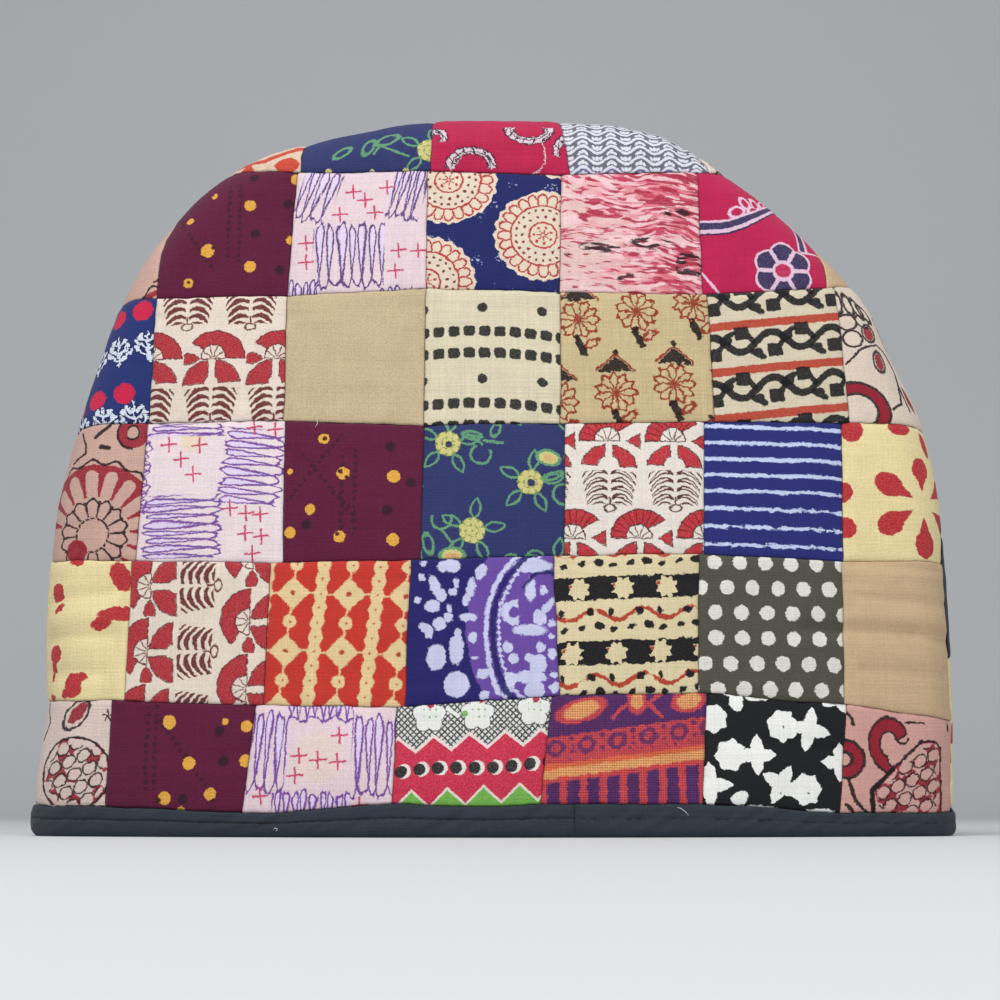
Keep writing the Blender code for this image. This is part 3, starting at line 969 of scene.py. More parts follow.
# Coarse blue cotton with red berries in rows and white sprigs between them
def berry_print(u, v):
    x, y = lattice(u, v, (10, -13.9), (11.6, 1.4), (-5.3, -31.9))
    yield (0.82, 0.12, 0.27), both(4.1 - far(x, y * 1.05), either(14.4 - u, v))
    x, y = lattice(u, v, (6.6, 2.4), (11.6, 1.4), (-4.1, -27))
    x = x + (cloud(1.7, shift=4) - 0.5) * 3
    y = y + (cloud(1.7, shift=9) - 0.5) * 3
    side = abs(x + y * 0.12)
    sprig = line(side, 1)
    for low, tip in ((-4, 4.6), (-1, 4), (2, 2.6)):
        sprig = either(sprig, both(line((y - low - side * 0.65) * 0.85, 1.1), tip - side),
                       1.1 - far(side - tip, y - low - tip * 0.8))
    sprig = both(sprig, within(y, -5.6, 6))
    yield (0.08, 0.10, 0.25), sprig + 0.4
    yield (0.87, 0.90, 0.96), sprig - 0.05


blue_berry = cotton("blue_berry", (0.13, 0.19, 0.44), berry_print, thread=0.75, coarse=1, shake=0.5)
sew(FRONT, 2, 0, blue_berry)


# White cotton block printed with red fans over leaves and ferns, in half-drop rows
def fan_motif(x, y, red, dark, rim_x, open_lines):
    """One fan with its cup, the leaves by its stem, and the fern under it."""
    rim, cup = oval(x, y, rim_x, -0.6, 10.9, 10.8), oval(x, y, 0.4, -0.4, 4.6, 5.4)
    upper = either(both(y + 0.3, (y + x * 0.556 - 1.64) * 0.87), both(cup, y + 0.3))
    yield red, both(rim, -cup, upper)
    out, aside = around(x, y, 22)
    pleats = line(aside, 0.26) if open_lines else -1 - out
    yield dark, both(either(line(rim, 0.45), line(upper, 0.4), both(pleats, -0.6 - cup)), rim + 0.3,
                     upper + 0.2)
    out, aside = around(x - 0.4, y + 0.4, 10)
    yield dark, both(either(line(aside, 0.4), line(cup, 0.45)), cup + 0.25, out - 0.8, y + 0.3)
    # leaves on both sides of the stem, and a small one beyond
    side = abs(x)
    dome = oval(x, y, 0, -10.6, 9.8 if open_lines else 10.6, 8.8 if open_lines else 9.8)
    leaf = both(dome, y + (9.4 if open_lines else 9.6) - x * 0.05, side - 1.5,
                far(side, y + 9.6) - (4 if open_lines else 2.7))
    if open_lines:
        small = both(x + 11.2, (-6.6 - x) * 0.6 - abs(y + 0.2))
    else:
        lens = (x + 8.8) * (1 / 3.9)
        small = 2 - lens * lens * 2 - abs(y + 0.2)
    yield red, either(leaf, small)
    yield dark, either(line(leaf + 0.1, 0.45), line(small + 0.1, 0.45))
    # drooping fronds of the fern under them, and its curled foot
    sweep = side - 3.2
    tier = beat(y + sweep * sweep * 0.13 + 11.6, 3)
    frond = both(line(tier, 2.2) - abs(side - 5) * 0.12, within(y + side * 0.1, -23.4, -10.9),
                 side - 0.6, 10.2 + (y + 11) * 0.18 - side)
    if open_lines:
        hollow = abs(tier) + abs(side - 5.4) * 0.08 - 0.4
        frond = both(frond, hollow + clear(2.4 - side) * 2 + clear(side - 8.6) * 2)
    foot = line(oval(x, y, 0, -25, 2, 1.3), 0.55)
    yield dark, either(frond, foot, both(line(side, 0.7), within(y, -23.8, -21)))


def fan_print(start, right, down, red, dark, hand=1, middle=0.6, rim_x=1.3, open_lines=False):
    """Fans in rows by two steps; open_lines is the print with its lines cut through."""
    def printed(u, v):
        for shift in ((0, 0), down):
            x, y = lattice(
                u, v, (start[0] + shift[0] + middle * hand, start[1] + shift[1] - 8.5), right,
                (2 * down[0] - right[0], 2 * down[1] - right[1]))
            yield from fan_motif(x * hand + middle, y - 8.5, red, dark, rim_x, open_lines)
    return printed


FAN_RED, FAN_DARK = (0.68, 0.10, 0.17), (0.40, 0.11, 0.14)
red_fan = cotton("red_fan", (0.90, 0.84, 0.78), fan_print(
    (-2, 0.4), (23.5, -0.4), (9.9, -37), FAN_RED, FAN_DARK), shake=0.35)
red_fan_bright = cotton("red_fan_bright", (0.91, 0.87, 0.83), fan_print(
    (-8.5, 17.4), (23.5, 0.2), (10.6, -35.6), (0.73, 0.10, 0.17), (0.30, 0.07, 0.09),
    hand=-1, middle=-0.5, rim_x=-0.5, open_lines=True), shake=0.35)
sew(FRONT, 2, 1, red_fan)
sew(FRONT, 3, 4, red_fan_bright)
sew(FRONT, 4, 1, red_fan, turn=90, at=(-18.6, -17))


# Unbleached cotton stamped with rows of black dashes and lone dots
def dash_print(u, v):
    bend = v + (u + 6) * (u + 6) * 0.0030
    for height in (10.3, 1.9):
        a, b = beat(u, 5.55, -2.6), beat(bend, 27.6, height)
        yield (0.09, 0.10, 0.11), 1.15 - far(most(abs(a) - 0.95, 0), most(abs(b) - 0.85, 0))
    yield (0.09, 0.10, 0.11), 1.85 - far(beat(u, 21.6, -3.4), beat(bend, 27.4, 19.4))


dash_dot = cotton("dash_dot", (0.85, 0.81, 0.70), dash_print, thread=0.45, slub=0.18)
sew(FRONT, 2, 3, dash_dot)


# Beige cotton stamped with rust flower heads on black stems, capped in black
def rust_print(u, v):
    rust, black = (0.58, 0.17, 0.10), (0.10, 0.05, 0.07)
    for shift in ((0, 0), (13.2, -27.6)):
        x, y = lattice(u, v, (0.5 + shift[0], 20.5 + shift[1]), (21.2, 3.6), (5.2, -58.8))
        y = y + 3
        out, aside = around(x, y, 11)
        edge = out - 6.7 - 0.8 * cosine(aside * (11 / 6.7))
        roof = y - 14.4 + abs(x) * 0.85
        yield rust, either(
            line(edge, 1.25), both(abs(aside) - out * (math.pi / 11) + 0.36, -0.3 - edge, out - 0.8), 1 - out,
            line(oval(x, y, 4.6, -9.2, 2.8, 1.3, 35), 0.9), both(line(roof, 1.1), 7.4 - abs(x)))
        yield black, either(
            stroke(x, y, -0.6, -7.5, 1.8, -13, 2.6), disc(x, y, 0, 15.5, 1.1),
            both(-0.8 - roof, y - 7.8 + (cloud(2, shift=4) - 0.5) * 4))


rust_flower = cotton("rust_flower", (0.80, 0.72, 0.55), rust_print, thread=0.5, coarse=0.8, slub=0.2,
                     shake=0.7)
sew(FRONT, 2, 4, rust_flower)


# Cream cotton with rust stripes, a black scrolling vine with leaves running between them
def scroll_print(u, v):
    level, u = v - u * 0.13 - 0.9, u + 2
    ink = (0.06, 0.06, 0.09)
    yield (0.72, 0.26, 0.18), 1.6 - abs(beat(level, 17.5, 12.6))
    y = beat(level, 17.5, 4.4)
    crest = cosine((u + 1) * (2 * math.pi / 22.5))
    yield ink, line((y - 1 - crest * 3.4) / work("SQRT", 1 + (1 - crest * crest) * 0.9), 2.8)
    for start, base in ((-1, -2.6), (10.2, 4.8)):
        x = beat(u, 22.5, start + 0.9)
        hand = 1 if base > 0 else -1
        yield ink, either(
            0.6 - far(most(abs(x + y * 0.12) - 2.1, 0), most(abs(y - base) - 1.9, 0)),
            stroke(x, y, 1, base, 3.6, base - hand * 3.6, 2),
            both(1.9 - far(x - 5.2, y + base * 0.25 + hand * 1.9), 2.8 - abs(x + y * hand * 0.7 - 4.2)),
            both(stroke(x, y, 3.2, -hand * 2.6, 7.2, -hand * 5, 2.4), 1.2 - abs(y + hand * 3.6) * 0.5))


scroll_stripe = cotton("scroll_stripe", (0.84, 0.79, 0.69), scroll_print, worn=0.1, thread=0.5)
sew(FRONT, 2, 5, scroll_stripe)


# Pinkish cotton block printed with large flowers and petals in black outline and dark red
PETAL_RED, PETAL_BLACK = (0.60, 0.12, 0.19), (0.12, 0.06, 0.08)


def rosette_print(u, v):
    x, y = u - 5.7, v + 16.3
    out, aside = around(x, y, 18, 13)
    slot = 2.5 - far(most(abs(out - 18.4) - 3.2, 0), aside * (1.5 - out * 0.022))
    bulge = cosine(aside * (18 / 25)) * 0.9
    yield PETAL_RED, both(within(out, 14, 26.2), y + 7 + x * 0.5, -slot)
    yield PETAL_BLACK, both(line(out - 27.2 - bulge, 1), y + 4)
    out, aside = around(x, y, 14, 15)
    bulge = cosine(aside * (14 / 12.6)) * 0.9
    yield PETAL_BLACK, either(
        both(line(out - 6.1, 0.8), 0.9 - abs(beat(u + v, 2.4))),
        both(abs(aside) - out * 0.18, within(out, 6.6, 12.6)),
        line(out - 12.5 - bulge, 1))
    yield PETAL_RED, both(disc(u, v, -0.4, -22, 4.2), 14 - abs(x))
    x, y = u - 19.5, v - 21.5
    yield PETAL_RED, line(far(x, y) - 4.3, 3.6)
    yield PETAL_BLACK, either(
        both(line(far(x, y) - 6.2, 0.9), -1 * x), both(line(far(x + 0.5, y) - 2.6, 0.8), x + 2.5),
        many(stroke, u, v, (
            (4.8, 20.4, 10.2, 24.6, 1.4), (-2.2, 23, 1, 17.7, 0.9), (1, 17.7, 1.2, 14.4, 0.9),
            (1.2, 14.4, -4.6, 11.6, 0.9), (7.4, 16.6, 10.4, 16, 1.7))))


dusty_rosette = cotton("dusty_rosette", (0.80, 0.65, 0.595), rosette_print, thread=0.6, coarse=0.9)
sew(FRONT, 3, 0, dusty_rosette)


def petal_net_print(u, v):
    yield PETAL_RED, many(oval, u, v, ((-10.3, 9.8, 2.2, 2.9, 15), (-7, -1.3, 1.8, 3.5, 8)))
    yield PETAL_BLACK, either(
        many(outline, u, v, (
            (-22.5, 21, 1.8, 4.6, 10), (-18, 20.5, 1.7, 4.6, 20), (-14.2, 19.6, 1.7, 4.4, 30),
            (-11, 18.2, 1.6, 4.2, 40), (-19, 13.2, 3.6, 3.1), (-12.6, 14.4, 3.1, 2.4, -20),
            (-17.2, 6.8, 3.7, 3.2), (-10.3, 9.8, 2.9, 3.5, 15), (-7, -1.3, 2.5, 4.2, 8))),
        many(stroke, u, v, (
            (-20, -3, -14, 3.2, 0.9), (-14, 3.2, -7, 5.8, 0.9), (-7, 5.8, -2, 3, 0.9),
            (-2, 3, 1.3, -4, 1), (1.3, -4, 1, -16.8, 1.1), (1, -16.8, -3, -19.6, 1.1),
            (1.3, -9, 5, -19, 1), (-5, 18.6, 0, 6, 0.9), (14, 6, 19, 0, 0.9),
            (12, 20, 17, 14, 0.9))))
    x, y = u + 15.4, v + 19.6
    ring = both(line(oval(x, y, -1, -1.4, 12, 10.4, -20) - 1.8, 3.4), y + x * 0.2 + 5)
    yield PETAL_BLACK, ring + 0.9
    yield PETAL_RED, ring - 0.1
    yield PETAL_RED, both(oval(u, v, 6, -14, 1.4, 5.6, 25), -8 - v)


def pebbled(x, y, shape, pale, shift):
    """Pebbles outlined in black between dark red patches, all inside a black outline."""
    yield pale, shape
    yield PETAL_RED, both(shape, (cloud(4.5, shift=shift) - 0.5) * 9)
    a, b = lattice(x, y, (0.5, 0), (5.6, 2.2), (-2.5, 4.4))
    pebble = oval(a, b, 0, 0, 2.7, 1.9, 35)
    yield pale, both(pebble, shape - 0.8)
    yield PETAL_BLACK, either(line(shape, 0.9), both(line(pebble + 0.1, 0.55), shape - 2.2))


def paisley_corner_print(u, v):
    x, y = u - 7.5, v + 7.6
    yield from pebbled(x, y, oval(x, y, 0, 0, 13.8, 12.8, 8), (0.86, 0.78, 0.74), 3)
    yield PETAL_RED, oval(u, v, 8, 14, 5, 2.2, 48)
    out, aside = around(u - 19.6, v - 12.8, 5, 18)
    yield PETAL_BLACK, either(
        outline(u, v, 7.4, 13.4, 6.4, 3.5, 48, 0.9), many(stroke, u, v, (
            (-8.5, 18, -5.6, 11, 0.9), (-5.6, 11, -9.5, 5, 0.9), (-15, 2, -13.6, -3, 0.9))),
        both(line(aside, 0.6), 2.2 - out))
    yield (0.93, 0.92, 0.90), both(-18.4 - v, u + 2)
    yield PETAL_BLACK, both(line(v + 18.6, 0.4), abs(beat(u, 4.2)) - 0.8, u + 2)


def crescent_print(u, v):
    x, y = u + 4.9, v - 7.4
    curl = line(oval(x, y, 0, -1, 5.4, 6.9), 3.2)
    hook = either(both(curl, either(-1 * x - 1, y - x * 0.7 + 1.6)), stroke(x, y, -3.6, -6, 0.2, -10.4, 2.4))
    yield PETAL_BLACK, either(hook + 0.8, both(line(disc(x, y, 5, 1.6, 2.4), 0.8), 1.4 - y))
    yield PETAL_RED, hook
    x, y = u - 3, v + 6
    shape = both(within(x, -14.8, 12.2), within(y, -12.2, 13.6), (9.6 + x * 0.89 - y) * 0.75,
                 (23.4 - x - y) * 0.7)
    yield from pebbled(x, y, shape, (0.84, 0.66, 0.62), 7)
    yield PETAL_BLACK, both(line(shape, 2), -6 - x)
    crescent = both(line(oval(u, v, -21.8, 1.1, 7, 6.2) - 1.6, 3), u + 22.6)
    yield PETAL_BLACK, crescent + 1.1
    yield PETAL_RED, crescent
    yield PETAL_BLACK, either(
        many(stroke, u, v, (
            (-20.6, -5.8, -18.2, -13, 1.4), (-18.2, -13, -13.4, -18.1, 1.4),
            (-21.6, -14.5, -18.2, -18.1, 1.4), (1.4, 14, 8.6, 14, 0.8))),
        oval(u, v, 20.2, 12.8, 0.8, 1.7), both(line(disc(u, v, -24, 12.6, 6), 1.1), v - 12.6))
    yield PETAL_RED, oval(u, v, -22.2, 14, 1.3, 2.8, 20)


cream_petal = cotton("cream_petal", (0.88, 0.81, 0.75), petal_net_print, thread=0.5, coarse=0.7)
cream_paisley = cotton("cream_paisley", (0.87, 0.79, 0.75), paisley_corner_print, thread=0.5, coarse=0.9,
                       shake=0.4)
pink_paisley = cotton("pink_paisley", (0.84, 0.64, 0.60), crescent_print, thread=0.5, twill=True,
                      coarse=0.9, shake=0.4)
sew(FRONT, 2, 6, cream_petal)
sew(FRONT, 5, 0, cream_paisley)
sew(FRONT, 5, 6, pink_paisley)
sew(FRONT, 1, 0, dusty_rosette, at=(-17, 29))


# Navy twill with clustered yellow flowers, and their leaves and tendrils in green outline
LEAF_GREEN, PETAL_YELLOW = (0.40, 0.62, 0.45), (0.84, 0.80, 0.52)


def vine_flower(x, y):
    """A cluster of yellow petals with five green outlined leaves."""
    out, aside = around(x, y, 5, 15)
    share = (out - 8.1) * (1 / 4.2)
    leaf = both(2.15 - share * share * 2.15 - abs(aside + out * 0.1), out - 3.4)
    yield LEAF_GREEN, line(leaf - 0.45, 0.9)
    yield (0.55, 0.62, 0.33), 4.6 - out
    out, aside = around(x, y, 9)
    yield PETAL_YELLOW, 1.15 - far(out - 3.4, aside)
    out, aside = around(x, y, 5)
    yield PETAL_YELLOW, 0.95 - far(out - 1.3, aside)


def vine_print(u, v):
    yield from vine_flower(*lattice(u, v, (13.3, 2.6), (29.2, -14.4), (-20.5, -17.5)))
    for bud in ((-14.1, -24, 3.6, 2.3, 0), (19.8, 11.6, 3.4, 2.2, -12)):
        yield LEAF_GREEN, oval(u, v, bud[0], bud[1], bud[2] + 1.3, bud[3] + 0.9, bud[4])
        yield PETAL_YELLOW, oval(u, v, *bud)
        yield (0.86, 0.68, 0.46), oval(u, v, bud[0], bud[1], bud[2] - 1.4, bud[3] - 1.2, bud[4])
    yield LEAF_GREEN, either(
        both(line(disc(u, v, -4.2, 13, 3.6), 0.9), 14.4 - v - u * 0.3),
        both(line(disc(u, v, -18, -11, 3.4), 0.9), -9.6 - v),
        both(line(disc(u, v, 25, -1.6, 3.6), 0.9), 25.4 - u),
        both(line(disc(u, v, 15, -25, 3), 0.8), v + 25.4),
        both(line(disc(u, v, 6.5, -26, 2.6), 0.8), v + 26),
        many(stroke, u, v, (
            (-9, 20.6, -3.5, 16.6, 0.9), (-3, 18, 3.4, 17, 1), (-18, -14.4, -14, -20, 0.9))),
        many(outline, u, v, (
            (-7.4, 20, 3.2, 1.4, -10, 0.8), (1, 22, 2.6, 1.5, 70, 0.8),
            (-22.6, -19.6, 1.8, 3.6, 16, 0.8), (21.5, 5, 3.4, 1.2, 18, 0.8))))
    yield (0.12, 0.15, 0.34), many(disc, u, v, ((13.6, 2.3, 1.1), (-15.6, 16.7, 1))) + 0.3


def vine_scrap_print(u, v):
    yield from vine_flower(u - 23.8, v + 9)
    yield LEAF_GREEN, either(
        many(outline, u, v, (
            (8, -4.4, 4.4, 2, 24, 0.9), (1, -7.6, 3.6, 1.7, 62, 0.9), (-9, -9.6, 3.6, 1.6, 35, 0.8))),
        many(stroke, u, v, ((4, -6.6, 16, -11.6, 0.9), (3, -10.6, 5.4, -6.8, 0.9))))
    yield PETAL_YELLOW, many(disc, u, v, ((-14, -17.4, 1.2), (2.4, -17.6, 1), (15, -17.6, 1.3)))


VINE_NAVY = (0.18, 0.21, 0.41)
VINE_TWILL = dict(thread=0.55, twill=True, coarse=0.9, speck=0.7)
navy_vine = cotton("navy_vine", VINE_NAVY, vine_print, **VINE_TWILL)
sew(FRONT, 3, 3, navy_vine)
sew(FRONT, 0, 2, cotton("navy_vine_top", VINE_NAVY, vine_scrap_print, **VINE_TWILL))


# Blue cotton with white lines brushed across it by hand, thin and broken lower down
def brushed_line_print(u, v):
    level = v + u * 0.014 + (cloud(16, 1, (1, 0.4), 5) - 0.5) * 1.6
    level = level - least(level + 1.3, 0) * 0.085
    dry = (cloud(1.4, 2, (0.5, 1), 14) - 0.40) * 2.2 * clear(-4 - v + u * 0.25, 12)
    brush = (cloud(8, shift=3) - 0.5) * 0.5 + (cloud(0.8, 1, (0.6, 1), 8) - 0.5) * 0.9
    yield (0.80, 0.85, 0.97), both(0.70 - abs(beat(level, 6.02, -1.3)) - dry + brush, level + 21.6)


blue_stripe = cotton("blue_stripe", (0.15, 0.17, 0.46), brushed_line_print, coarse=0.8, soft=0.3)
sew(FRONT, 3, 5, blue_stripe)


# Pale yellow cotton with dark red petals and blots stamped on it
YELLOW, DROP_RED = (0.93, 0.86, 0.65), (0.72, 0.09, 0.18)


def drop_flower_print(u, v):
    petals = -9
    for angle, reach, wide in (
            (153, 20.2, 4.3), (211, 20.4, 4.2), (272, 20.2, 4.2), (91, 17.6, 3.6),
            (33, 18, 3.5), (333, 18, 3.5)):
        along, aside = turned(u - 9.6, v + 3.6, angle)
        head = reach - 1.3 * wide
        petals = either(petals, oval(along, aside, head, 0, 1.3 * wide, wide),
                        both((along - 4.6) * (wide / (head - 4.6)) - abs(aside), head - along))
    yield DROP_RED, either(
        petals, disc(u, v, -16.6, 22.8, 4.4), oval(u, v, 1.8, 24.6, 4.5, 3), disc(u, v, -21, -0.4, 3.8),
        disc(u, v, -20, -13.6, 3.8), oval(u, v, 13.4, 19.6, 2, 5, 20))


def blot_print(u, v):
    yield DROP_RED, many(oval, u, v, (
        (-7.4, 14.2, 3.5, 3.4, -8), (-6, 8, 2.5, 1.3, 30), (18.4, 5.4, 8.6, 2.5),
        (11.2, 2.2, 3.8, 2.4, 10), (18, 18.9, 3.6, 5.6, 30), (0.8, 25.4, 2.8, 1.9)))
    yield DROP_RED, either(
        many(oval, u, v, ((-7.6, -8.2, 3.2, 3.4), (1.2, -19.6, 3.4, 4.5, 8), (-9, -23.6, 1.7, 1.1))),
        many(stroke, u, v, ((-8, -10.5, -8.5, -13.5, 3), (-8.4, -11, -9, -17, 1.7))),
        many(disc, u, v, ((4.6, -16.6, 1.8), (-2, -22.6, 1.8))))


yellow_flower = cotton("yellow_petal", YELLOW, drop_flower_print, thread=0.5, coarse=0.8, shake=0.35)
yellow_blot = cotton("yellow_blot", YELLOW, blot_print, thread=0.5, coarse=0.8, shake=0.6)
sew(FRONT, 3, 6, yellow_flower)
sew(FRONT, 4, 0, yellow_blot)


# Orange-red cotton with cream diamonds and beads left undyed
def diamond_print(u, v):
    cream, centre = (0.90, 0.80, 0.60), (0.70, 0.20, 0.14)
    steps = (19.8, -0.9), (-2.1, -20.4)
    x, y = lattice(u, v, (2.2, -6.6), *steps)
    yield cream, either((1 - (abs(x) + abs(y)) * (1 / 5.9)) * 4.2, both(0.3 - abs(y), abs(x) - 5),
                        both(0.3 - abs(x - y * 0.1), within(abs(y), 5, 8.4)))
    yield centre, 0.9 - far(x, y)
    x, y = lattice(u, v, (1.15, -16.8), *steps)
    yield cream, 2.35 - far(x, y)
    yield centre, 0.35 - far(x - 0.3, y)
    x, y = lattice(u, v, (12.1, -7.05), *steps)
    bead = cosine(y * (2 * math.pi / 5.1))
    yield cream, 2.15 + 0.38 * bead - abs(x - y * 0.103)
    yield centre, 0.35 - far(x - y * 0.103, beat(y, 5.1))


orange_diamond = cotton("orange_diamond", (0.77, 0.21, 0.17), diamond_print, thread=0.5, coarse=0.7,
                        shake=0.35, soft=0.5)
sew(FRONT, 4, 2, orange_diamond)


# Batik cotton: a navy side with pale blots, and a purple side with arcs round pale blots
PALE_LILAC, BATIK_NAVY = (0.80, 0.81, 0.92), (0.13, 0.12, 0.40)


def batik_print(u, v):
    out = far(u - 30.5, (v - 0.3) * 0.9)
    yield (0.42, 0.29, 0.63), 36.5 - out + (cloud(9, shift=6) - 0.5) * 2
    low = least(v, 0)
    out = far(u + low * low * 0.008 - 30.5, (v - 0.3) * 0.9)
    yield PALE_LILAC, either(
        both(line(out - 29.4, 1.5), v + 23), both(line(out - 25.2, 1.1) + sine(v * 3.1) * 0.3 - 0.1, 30 - v),
        many(oval, u, v, (
            (-0.8, 20, 2, 2.8, -25), (-4.2, 14.4, 1.6, 3.4, -12),
            (-5.8, 10, 1.3, 2.3, -10), (-5.1, 3.8, 2.9, 1.4), (-3.6, -3.1, 1.6, 1.8),
            (-2.9, -10.3, 1.3, 0.7), (0.2, -15.6, 2.6, 1.7, 30), (0.5, -23, 1.9, 1.5),
            (17, 22.2, 7, 2.6), (16.4, 13.8, 1.9, 4.2), (21, 13.4, 1.4, 1.5),
            (16.1, -0.6, 5.9, 2), (19.6, 3.8, 2.4, 2.8), (22.7, 8.1, 1.4, 3.2, -40),
            (8.6, -6.6, 1.7, 2), (10.5, -10.6, 1.7, 1.7))),
        both(line(far(u - 10.8, v - 5.6) - 3.2, 2.5), 12.2 - u))
    yield PALE_LILAC, many(oval, u, v, (
        (19.9, -6.6, 1.6, 1.9), (23.9, -8.8, 1.6, 1.9), (16.1, -10.3, 1.9, 1.6),
        (18.9, -12.5, 3, 3.4), (16.4, -16.9, 5.2, 2.4), (9.6, -17.5, 2.4, 2.4),
        (17.7, -21.3, 3.6, 3), (8.3, -21.9, 1.7, 3), (24.2, -16.2, 1.2, 1.2),
        (24.5, -20.6, 1.7, 1.9), (23.9, 1.9, 1.5, 1.5), (23.6, -2.8, 1.1, 1.1)))
    yield BATIK_NAVY, either(
        both(line(out - 27.2, 1.9), 26 - v), both(line(far(u - 22, v - 12) - 8, 1.2), v - 14))
    yield PALE_LILAC, many(oval, u, v, (
        (-21, 23.1, 1.2, 1.2), (-21.4, 18.1, 1.3, 1.3), (-12, 21.9, 4, 2.4),
        (-9.5, 15.9, 1, 1.9), (-16.7, 15, 1.9, 3.8, 20), (-14.5, 11.6, 2, 2.2),
        (-10.4, 12.8, 1.5, 1.3), (-22.9, 10, 1.2, 1.2), (-17.6, 7.8, 2.7, 2.2),
        (-11.7, 6.9, 0.9, 1.4), (-15.1, 1.6, 2.3, 2.3), (-12, 3.8, 1.6, 1.6),
        (-19.8, 0, 2.6, 1.6, -35), (-18.6, -1.9, 1.4, 1.7)))
    yield PALE_LILAC, many(oval, u, v, (
        (-16.1, -10, 3.3, 4.6), (-9.2, -7.5, 2.6, 5), (-9.2, -19.4, 4.4, 4.6), (-8.6, -2.5, 1.4, 2.4)))
    yield BATIK_NAVY, oval(u, v, -12, 18.1, 1.8, 2.2)


navy_batik = cotton("navy_batik", BATIK_NAVY, batik_print, shake=0.5, soft=0.4)
sew(FRONT, 4, 3, navy_batik)


# Cream cotton with black bands that leave cream stars, and a rust vine between the bands
def star_print(u, v):
    level = v - u * 0.05
    y = beat(level, 22.7, 12.8)
    yield (0.045, 0.045, 0.08), 4.1 - abs(y) + (cloud(3, shift=2) - 0.5) * 1.6
    shift = work("GREATER_THAN", level, 1.5) * 2.6 - 19.6
    x, y = beat(u - shift, 15.4), y + 0.2
    out, aside = around(x, y, 8, 20)
    yield (0.87, 0.81, 0.65), 3.5 + 0.6 * cosine(aside * (8 / 3.4)) - out
    yield (0.68, 0.26, 0.18), disc(x, y, -3, 1.2, 0.6)
    crest = cosine((u - 5.2) * (2 * math.pi / 17.2))
    y = beat(level, 22.7, 2.6)
    faded = clear(cloud(5, shift=9) - 0.64, 0.1) * 0.6
    yield (0.70, 0.25, 0.17), line((y - crest * 1.9 - 0.7) * 0.82, 1.35) - faded
    yield (0.09, 0.08, 0.10), either(*(
        oval(beat(u, 17.2, start), y, 0, height, a, b, lean) for start, height, a, b, lean in (
            (-6, 1.6, 0.9, 1.5, 10), (4, 1.7, 1.6, 1.3, 0), (-5, -4.4, 1.4, 1, 30),
            (1.3, -3.6, 1.4, 1, 30), (7.2, -3.2, 1.8, 1.4, -15))))


star_band = cotton("star_band", (0.87, 0.81, 0.65), star_print, thread=0.5, coarse=0.7, shake=0.5, worn=0.03)
sew(FRONT, 4, 4, star_band)


# Olive-grey twill with white dots
def olive_print(u, v):
    u = u + work("LESS_THAN", v, 0.5) * 4.2
    for shift in (0, 8.95):
        x, y = beat(u, 9.3, -19.3 + shift * 0.48), beat(v, 17.9, 23.1 - shift)
        yield (0.93, 0.92, 0.88), 2.65 - far(x, y) + (cloud(7, shift=3) - 0.5) * 0.7


olive_spot = cotton("olive_spot", (0.335, 0.325, 0.28), olive_print, twill=True, thread=0.55, coarse=1.2,
                    shake=0.35, speck=0.6)
sew(FRONT, 4, 5, olive_spot)


# Printed border cloth: a black trellis with white flowers, a red band with dots, and green
def border_print(u, v):
    level = v - u * 0.064
    a, b = turned(u, v, 45)
    yield (0.10, 0.10, 0.12), either(0.26 - abs(beat(a, 1.5)), 0.26 - abs(beat(b, 1.5)))
    flowers = ((-12.8, 12.9), (3.7, 13.5), (23, 15))
    for x, y in flowers:
        out, aside = around(u - x, v - y, 5, 18)
        flower = either(3 - far(out - 2.8, aside), 2.4 - out)
        yield (0.10, 0.10, 0.12), flower + 0.3
        yield (0.92, 0.92, 0.90), flower
    yield (0.92, 0.92, 0.90), stroke(u, v, -6.5, 15.4, -3, 13, 1.3)
    yield (0.45, 0.70, 0.36), either(disc(u, v, -0.6, 13.6, 1.1), both(
        0.34 - far(beat(u, 2.1), beat(v, 2.5)),
        many(disc, u, v, [(x + 0.6, y + 1, 2.8) for x, y in flowers])))
    yield (0.68, 0.12, 0.23), many(disc, u, v, ((-12.4, 16.8, 1.3), (5, 18.2, 0.9), (23.8, 18.6, 1.2)))
    upper = level - 4.2 - 5 * (0.5 - abs(beat(u, 12.2, 1)) * (2 / 12.2))
    lower = level + 14.2 - 5.8 * (0.5 - abs(beat(u, 12.2, 5.8)) * (2 / 12.2))
    yield (0.93, 0.86, 0.84), 0.7 - upper
    yield (0.79, 0.12, 0.27), -0.6 - upper
    middle = level + 4.7 + sine(u * 0.14) * 0.5
    yield (0.92, 0.89, 0.86), 2.5 - far(beat(u, 6.25, 3.7), middle)
    yield (0.08, 0.09, 0.11), 2.05 - far(beat(u, 6.25, 2.8), middle)
    yield (0.90, 0.87, 0.81), 0.6 - lower
    yield (0.43, 0.69, 0.27), -0.5 - lower


zigzag_border = cotton("zigzag_border", (0.87, 0.87, 0.85), border_print, thread=0.38, coarse=0.4,
                       worn=0.1, shake=0.12)
sew(FRONT, 5, 3, zigzag_border)


# Open-woven purple cloth with warm bands and blobs in red, orange and yellow
PURPLE = (0.33, 0.16, 0.38)


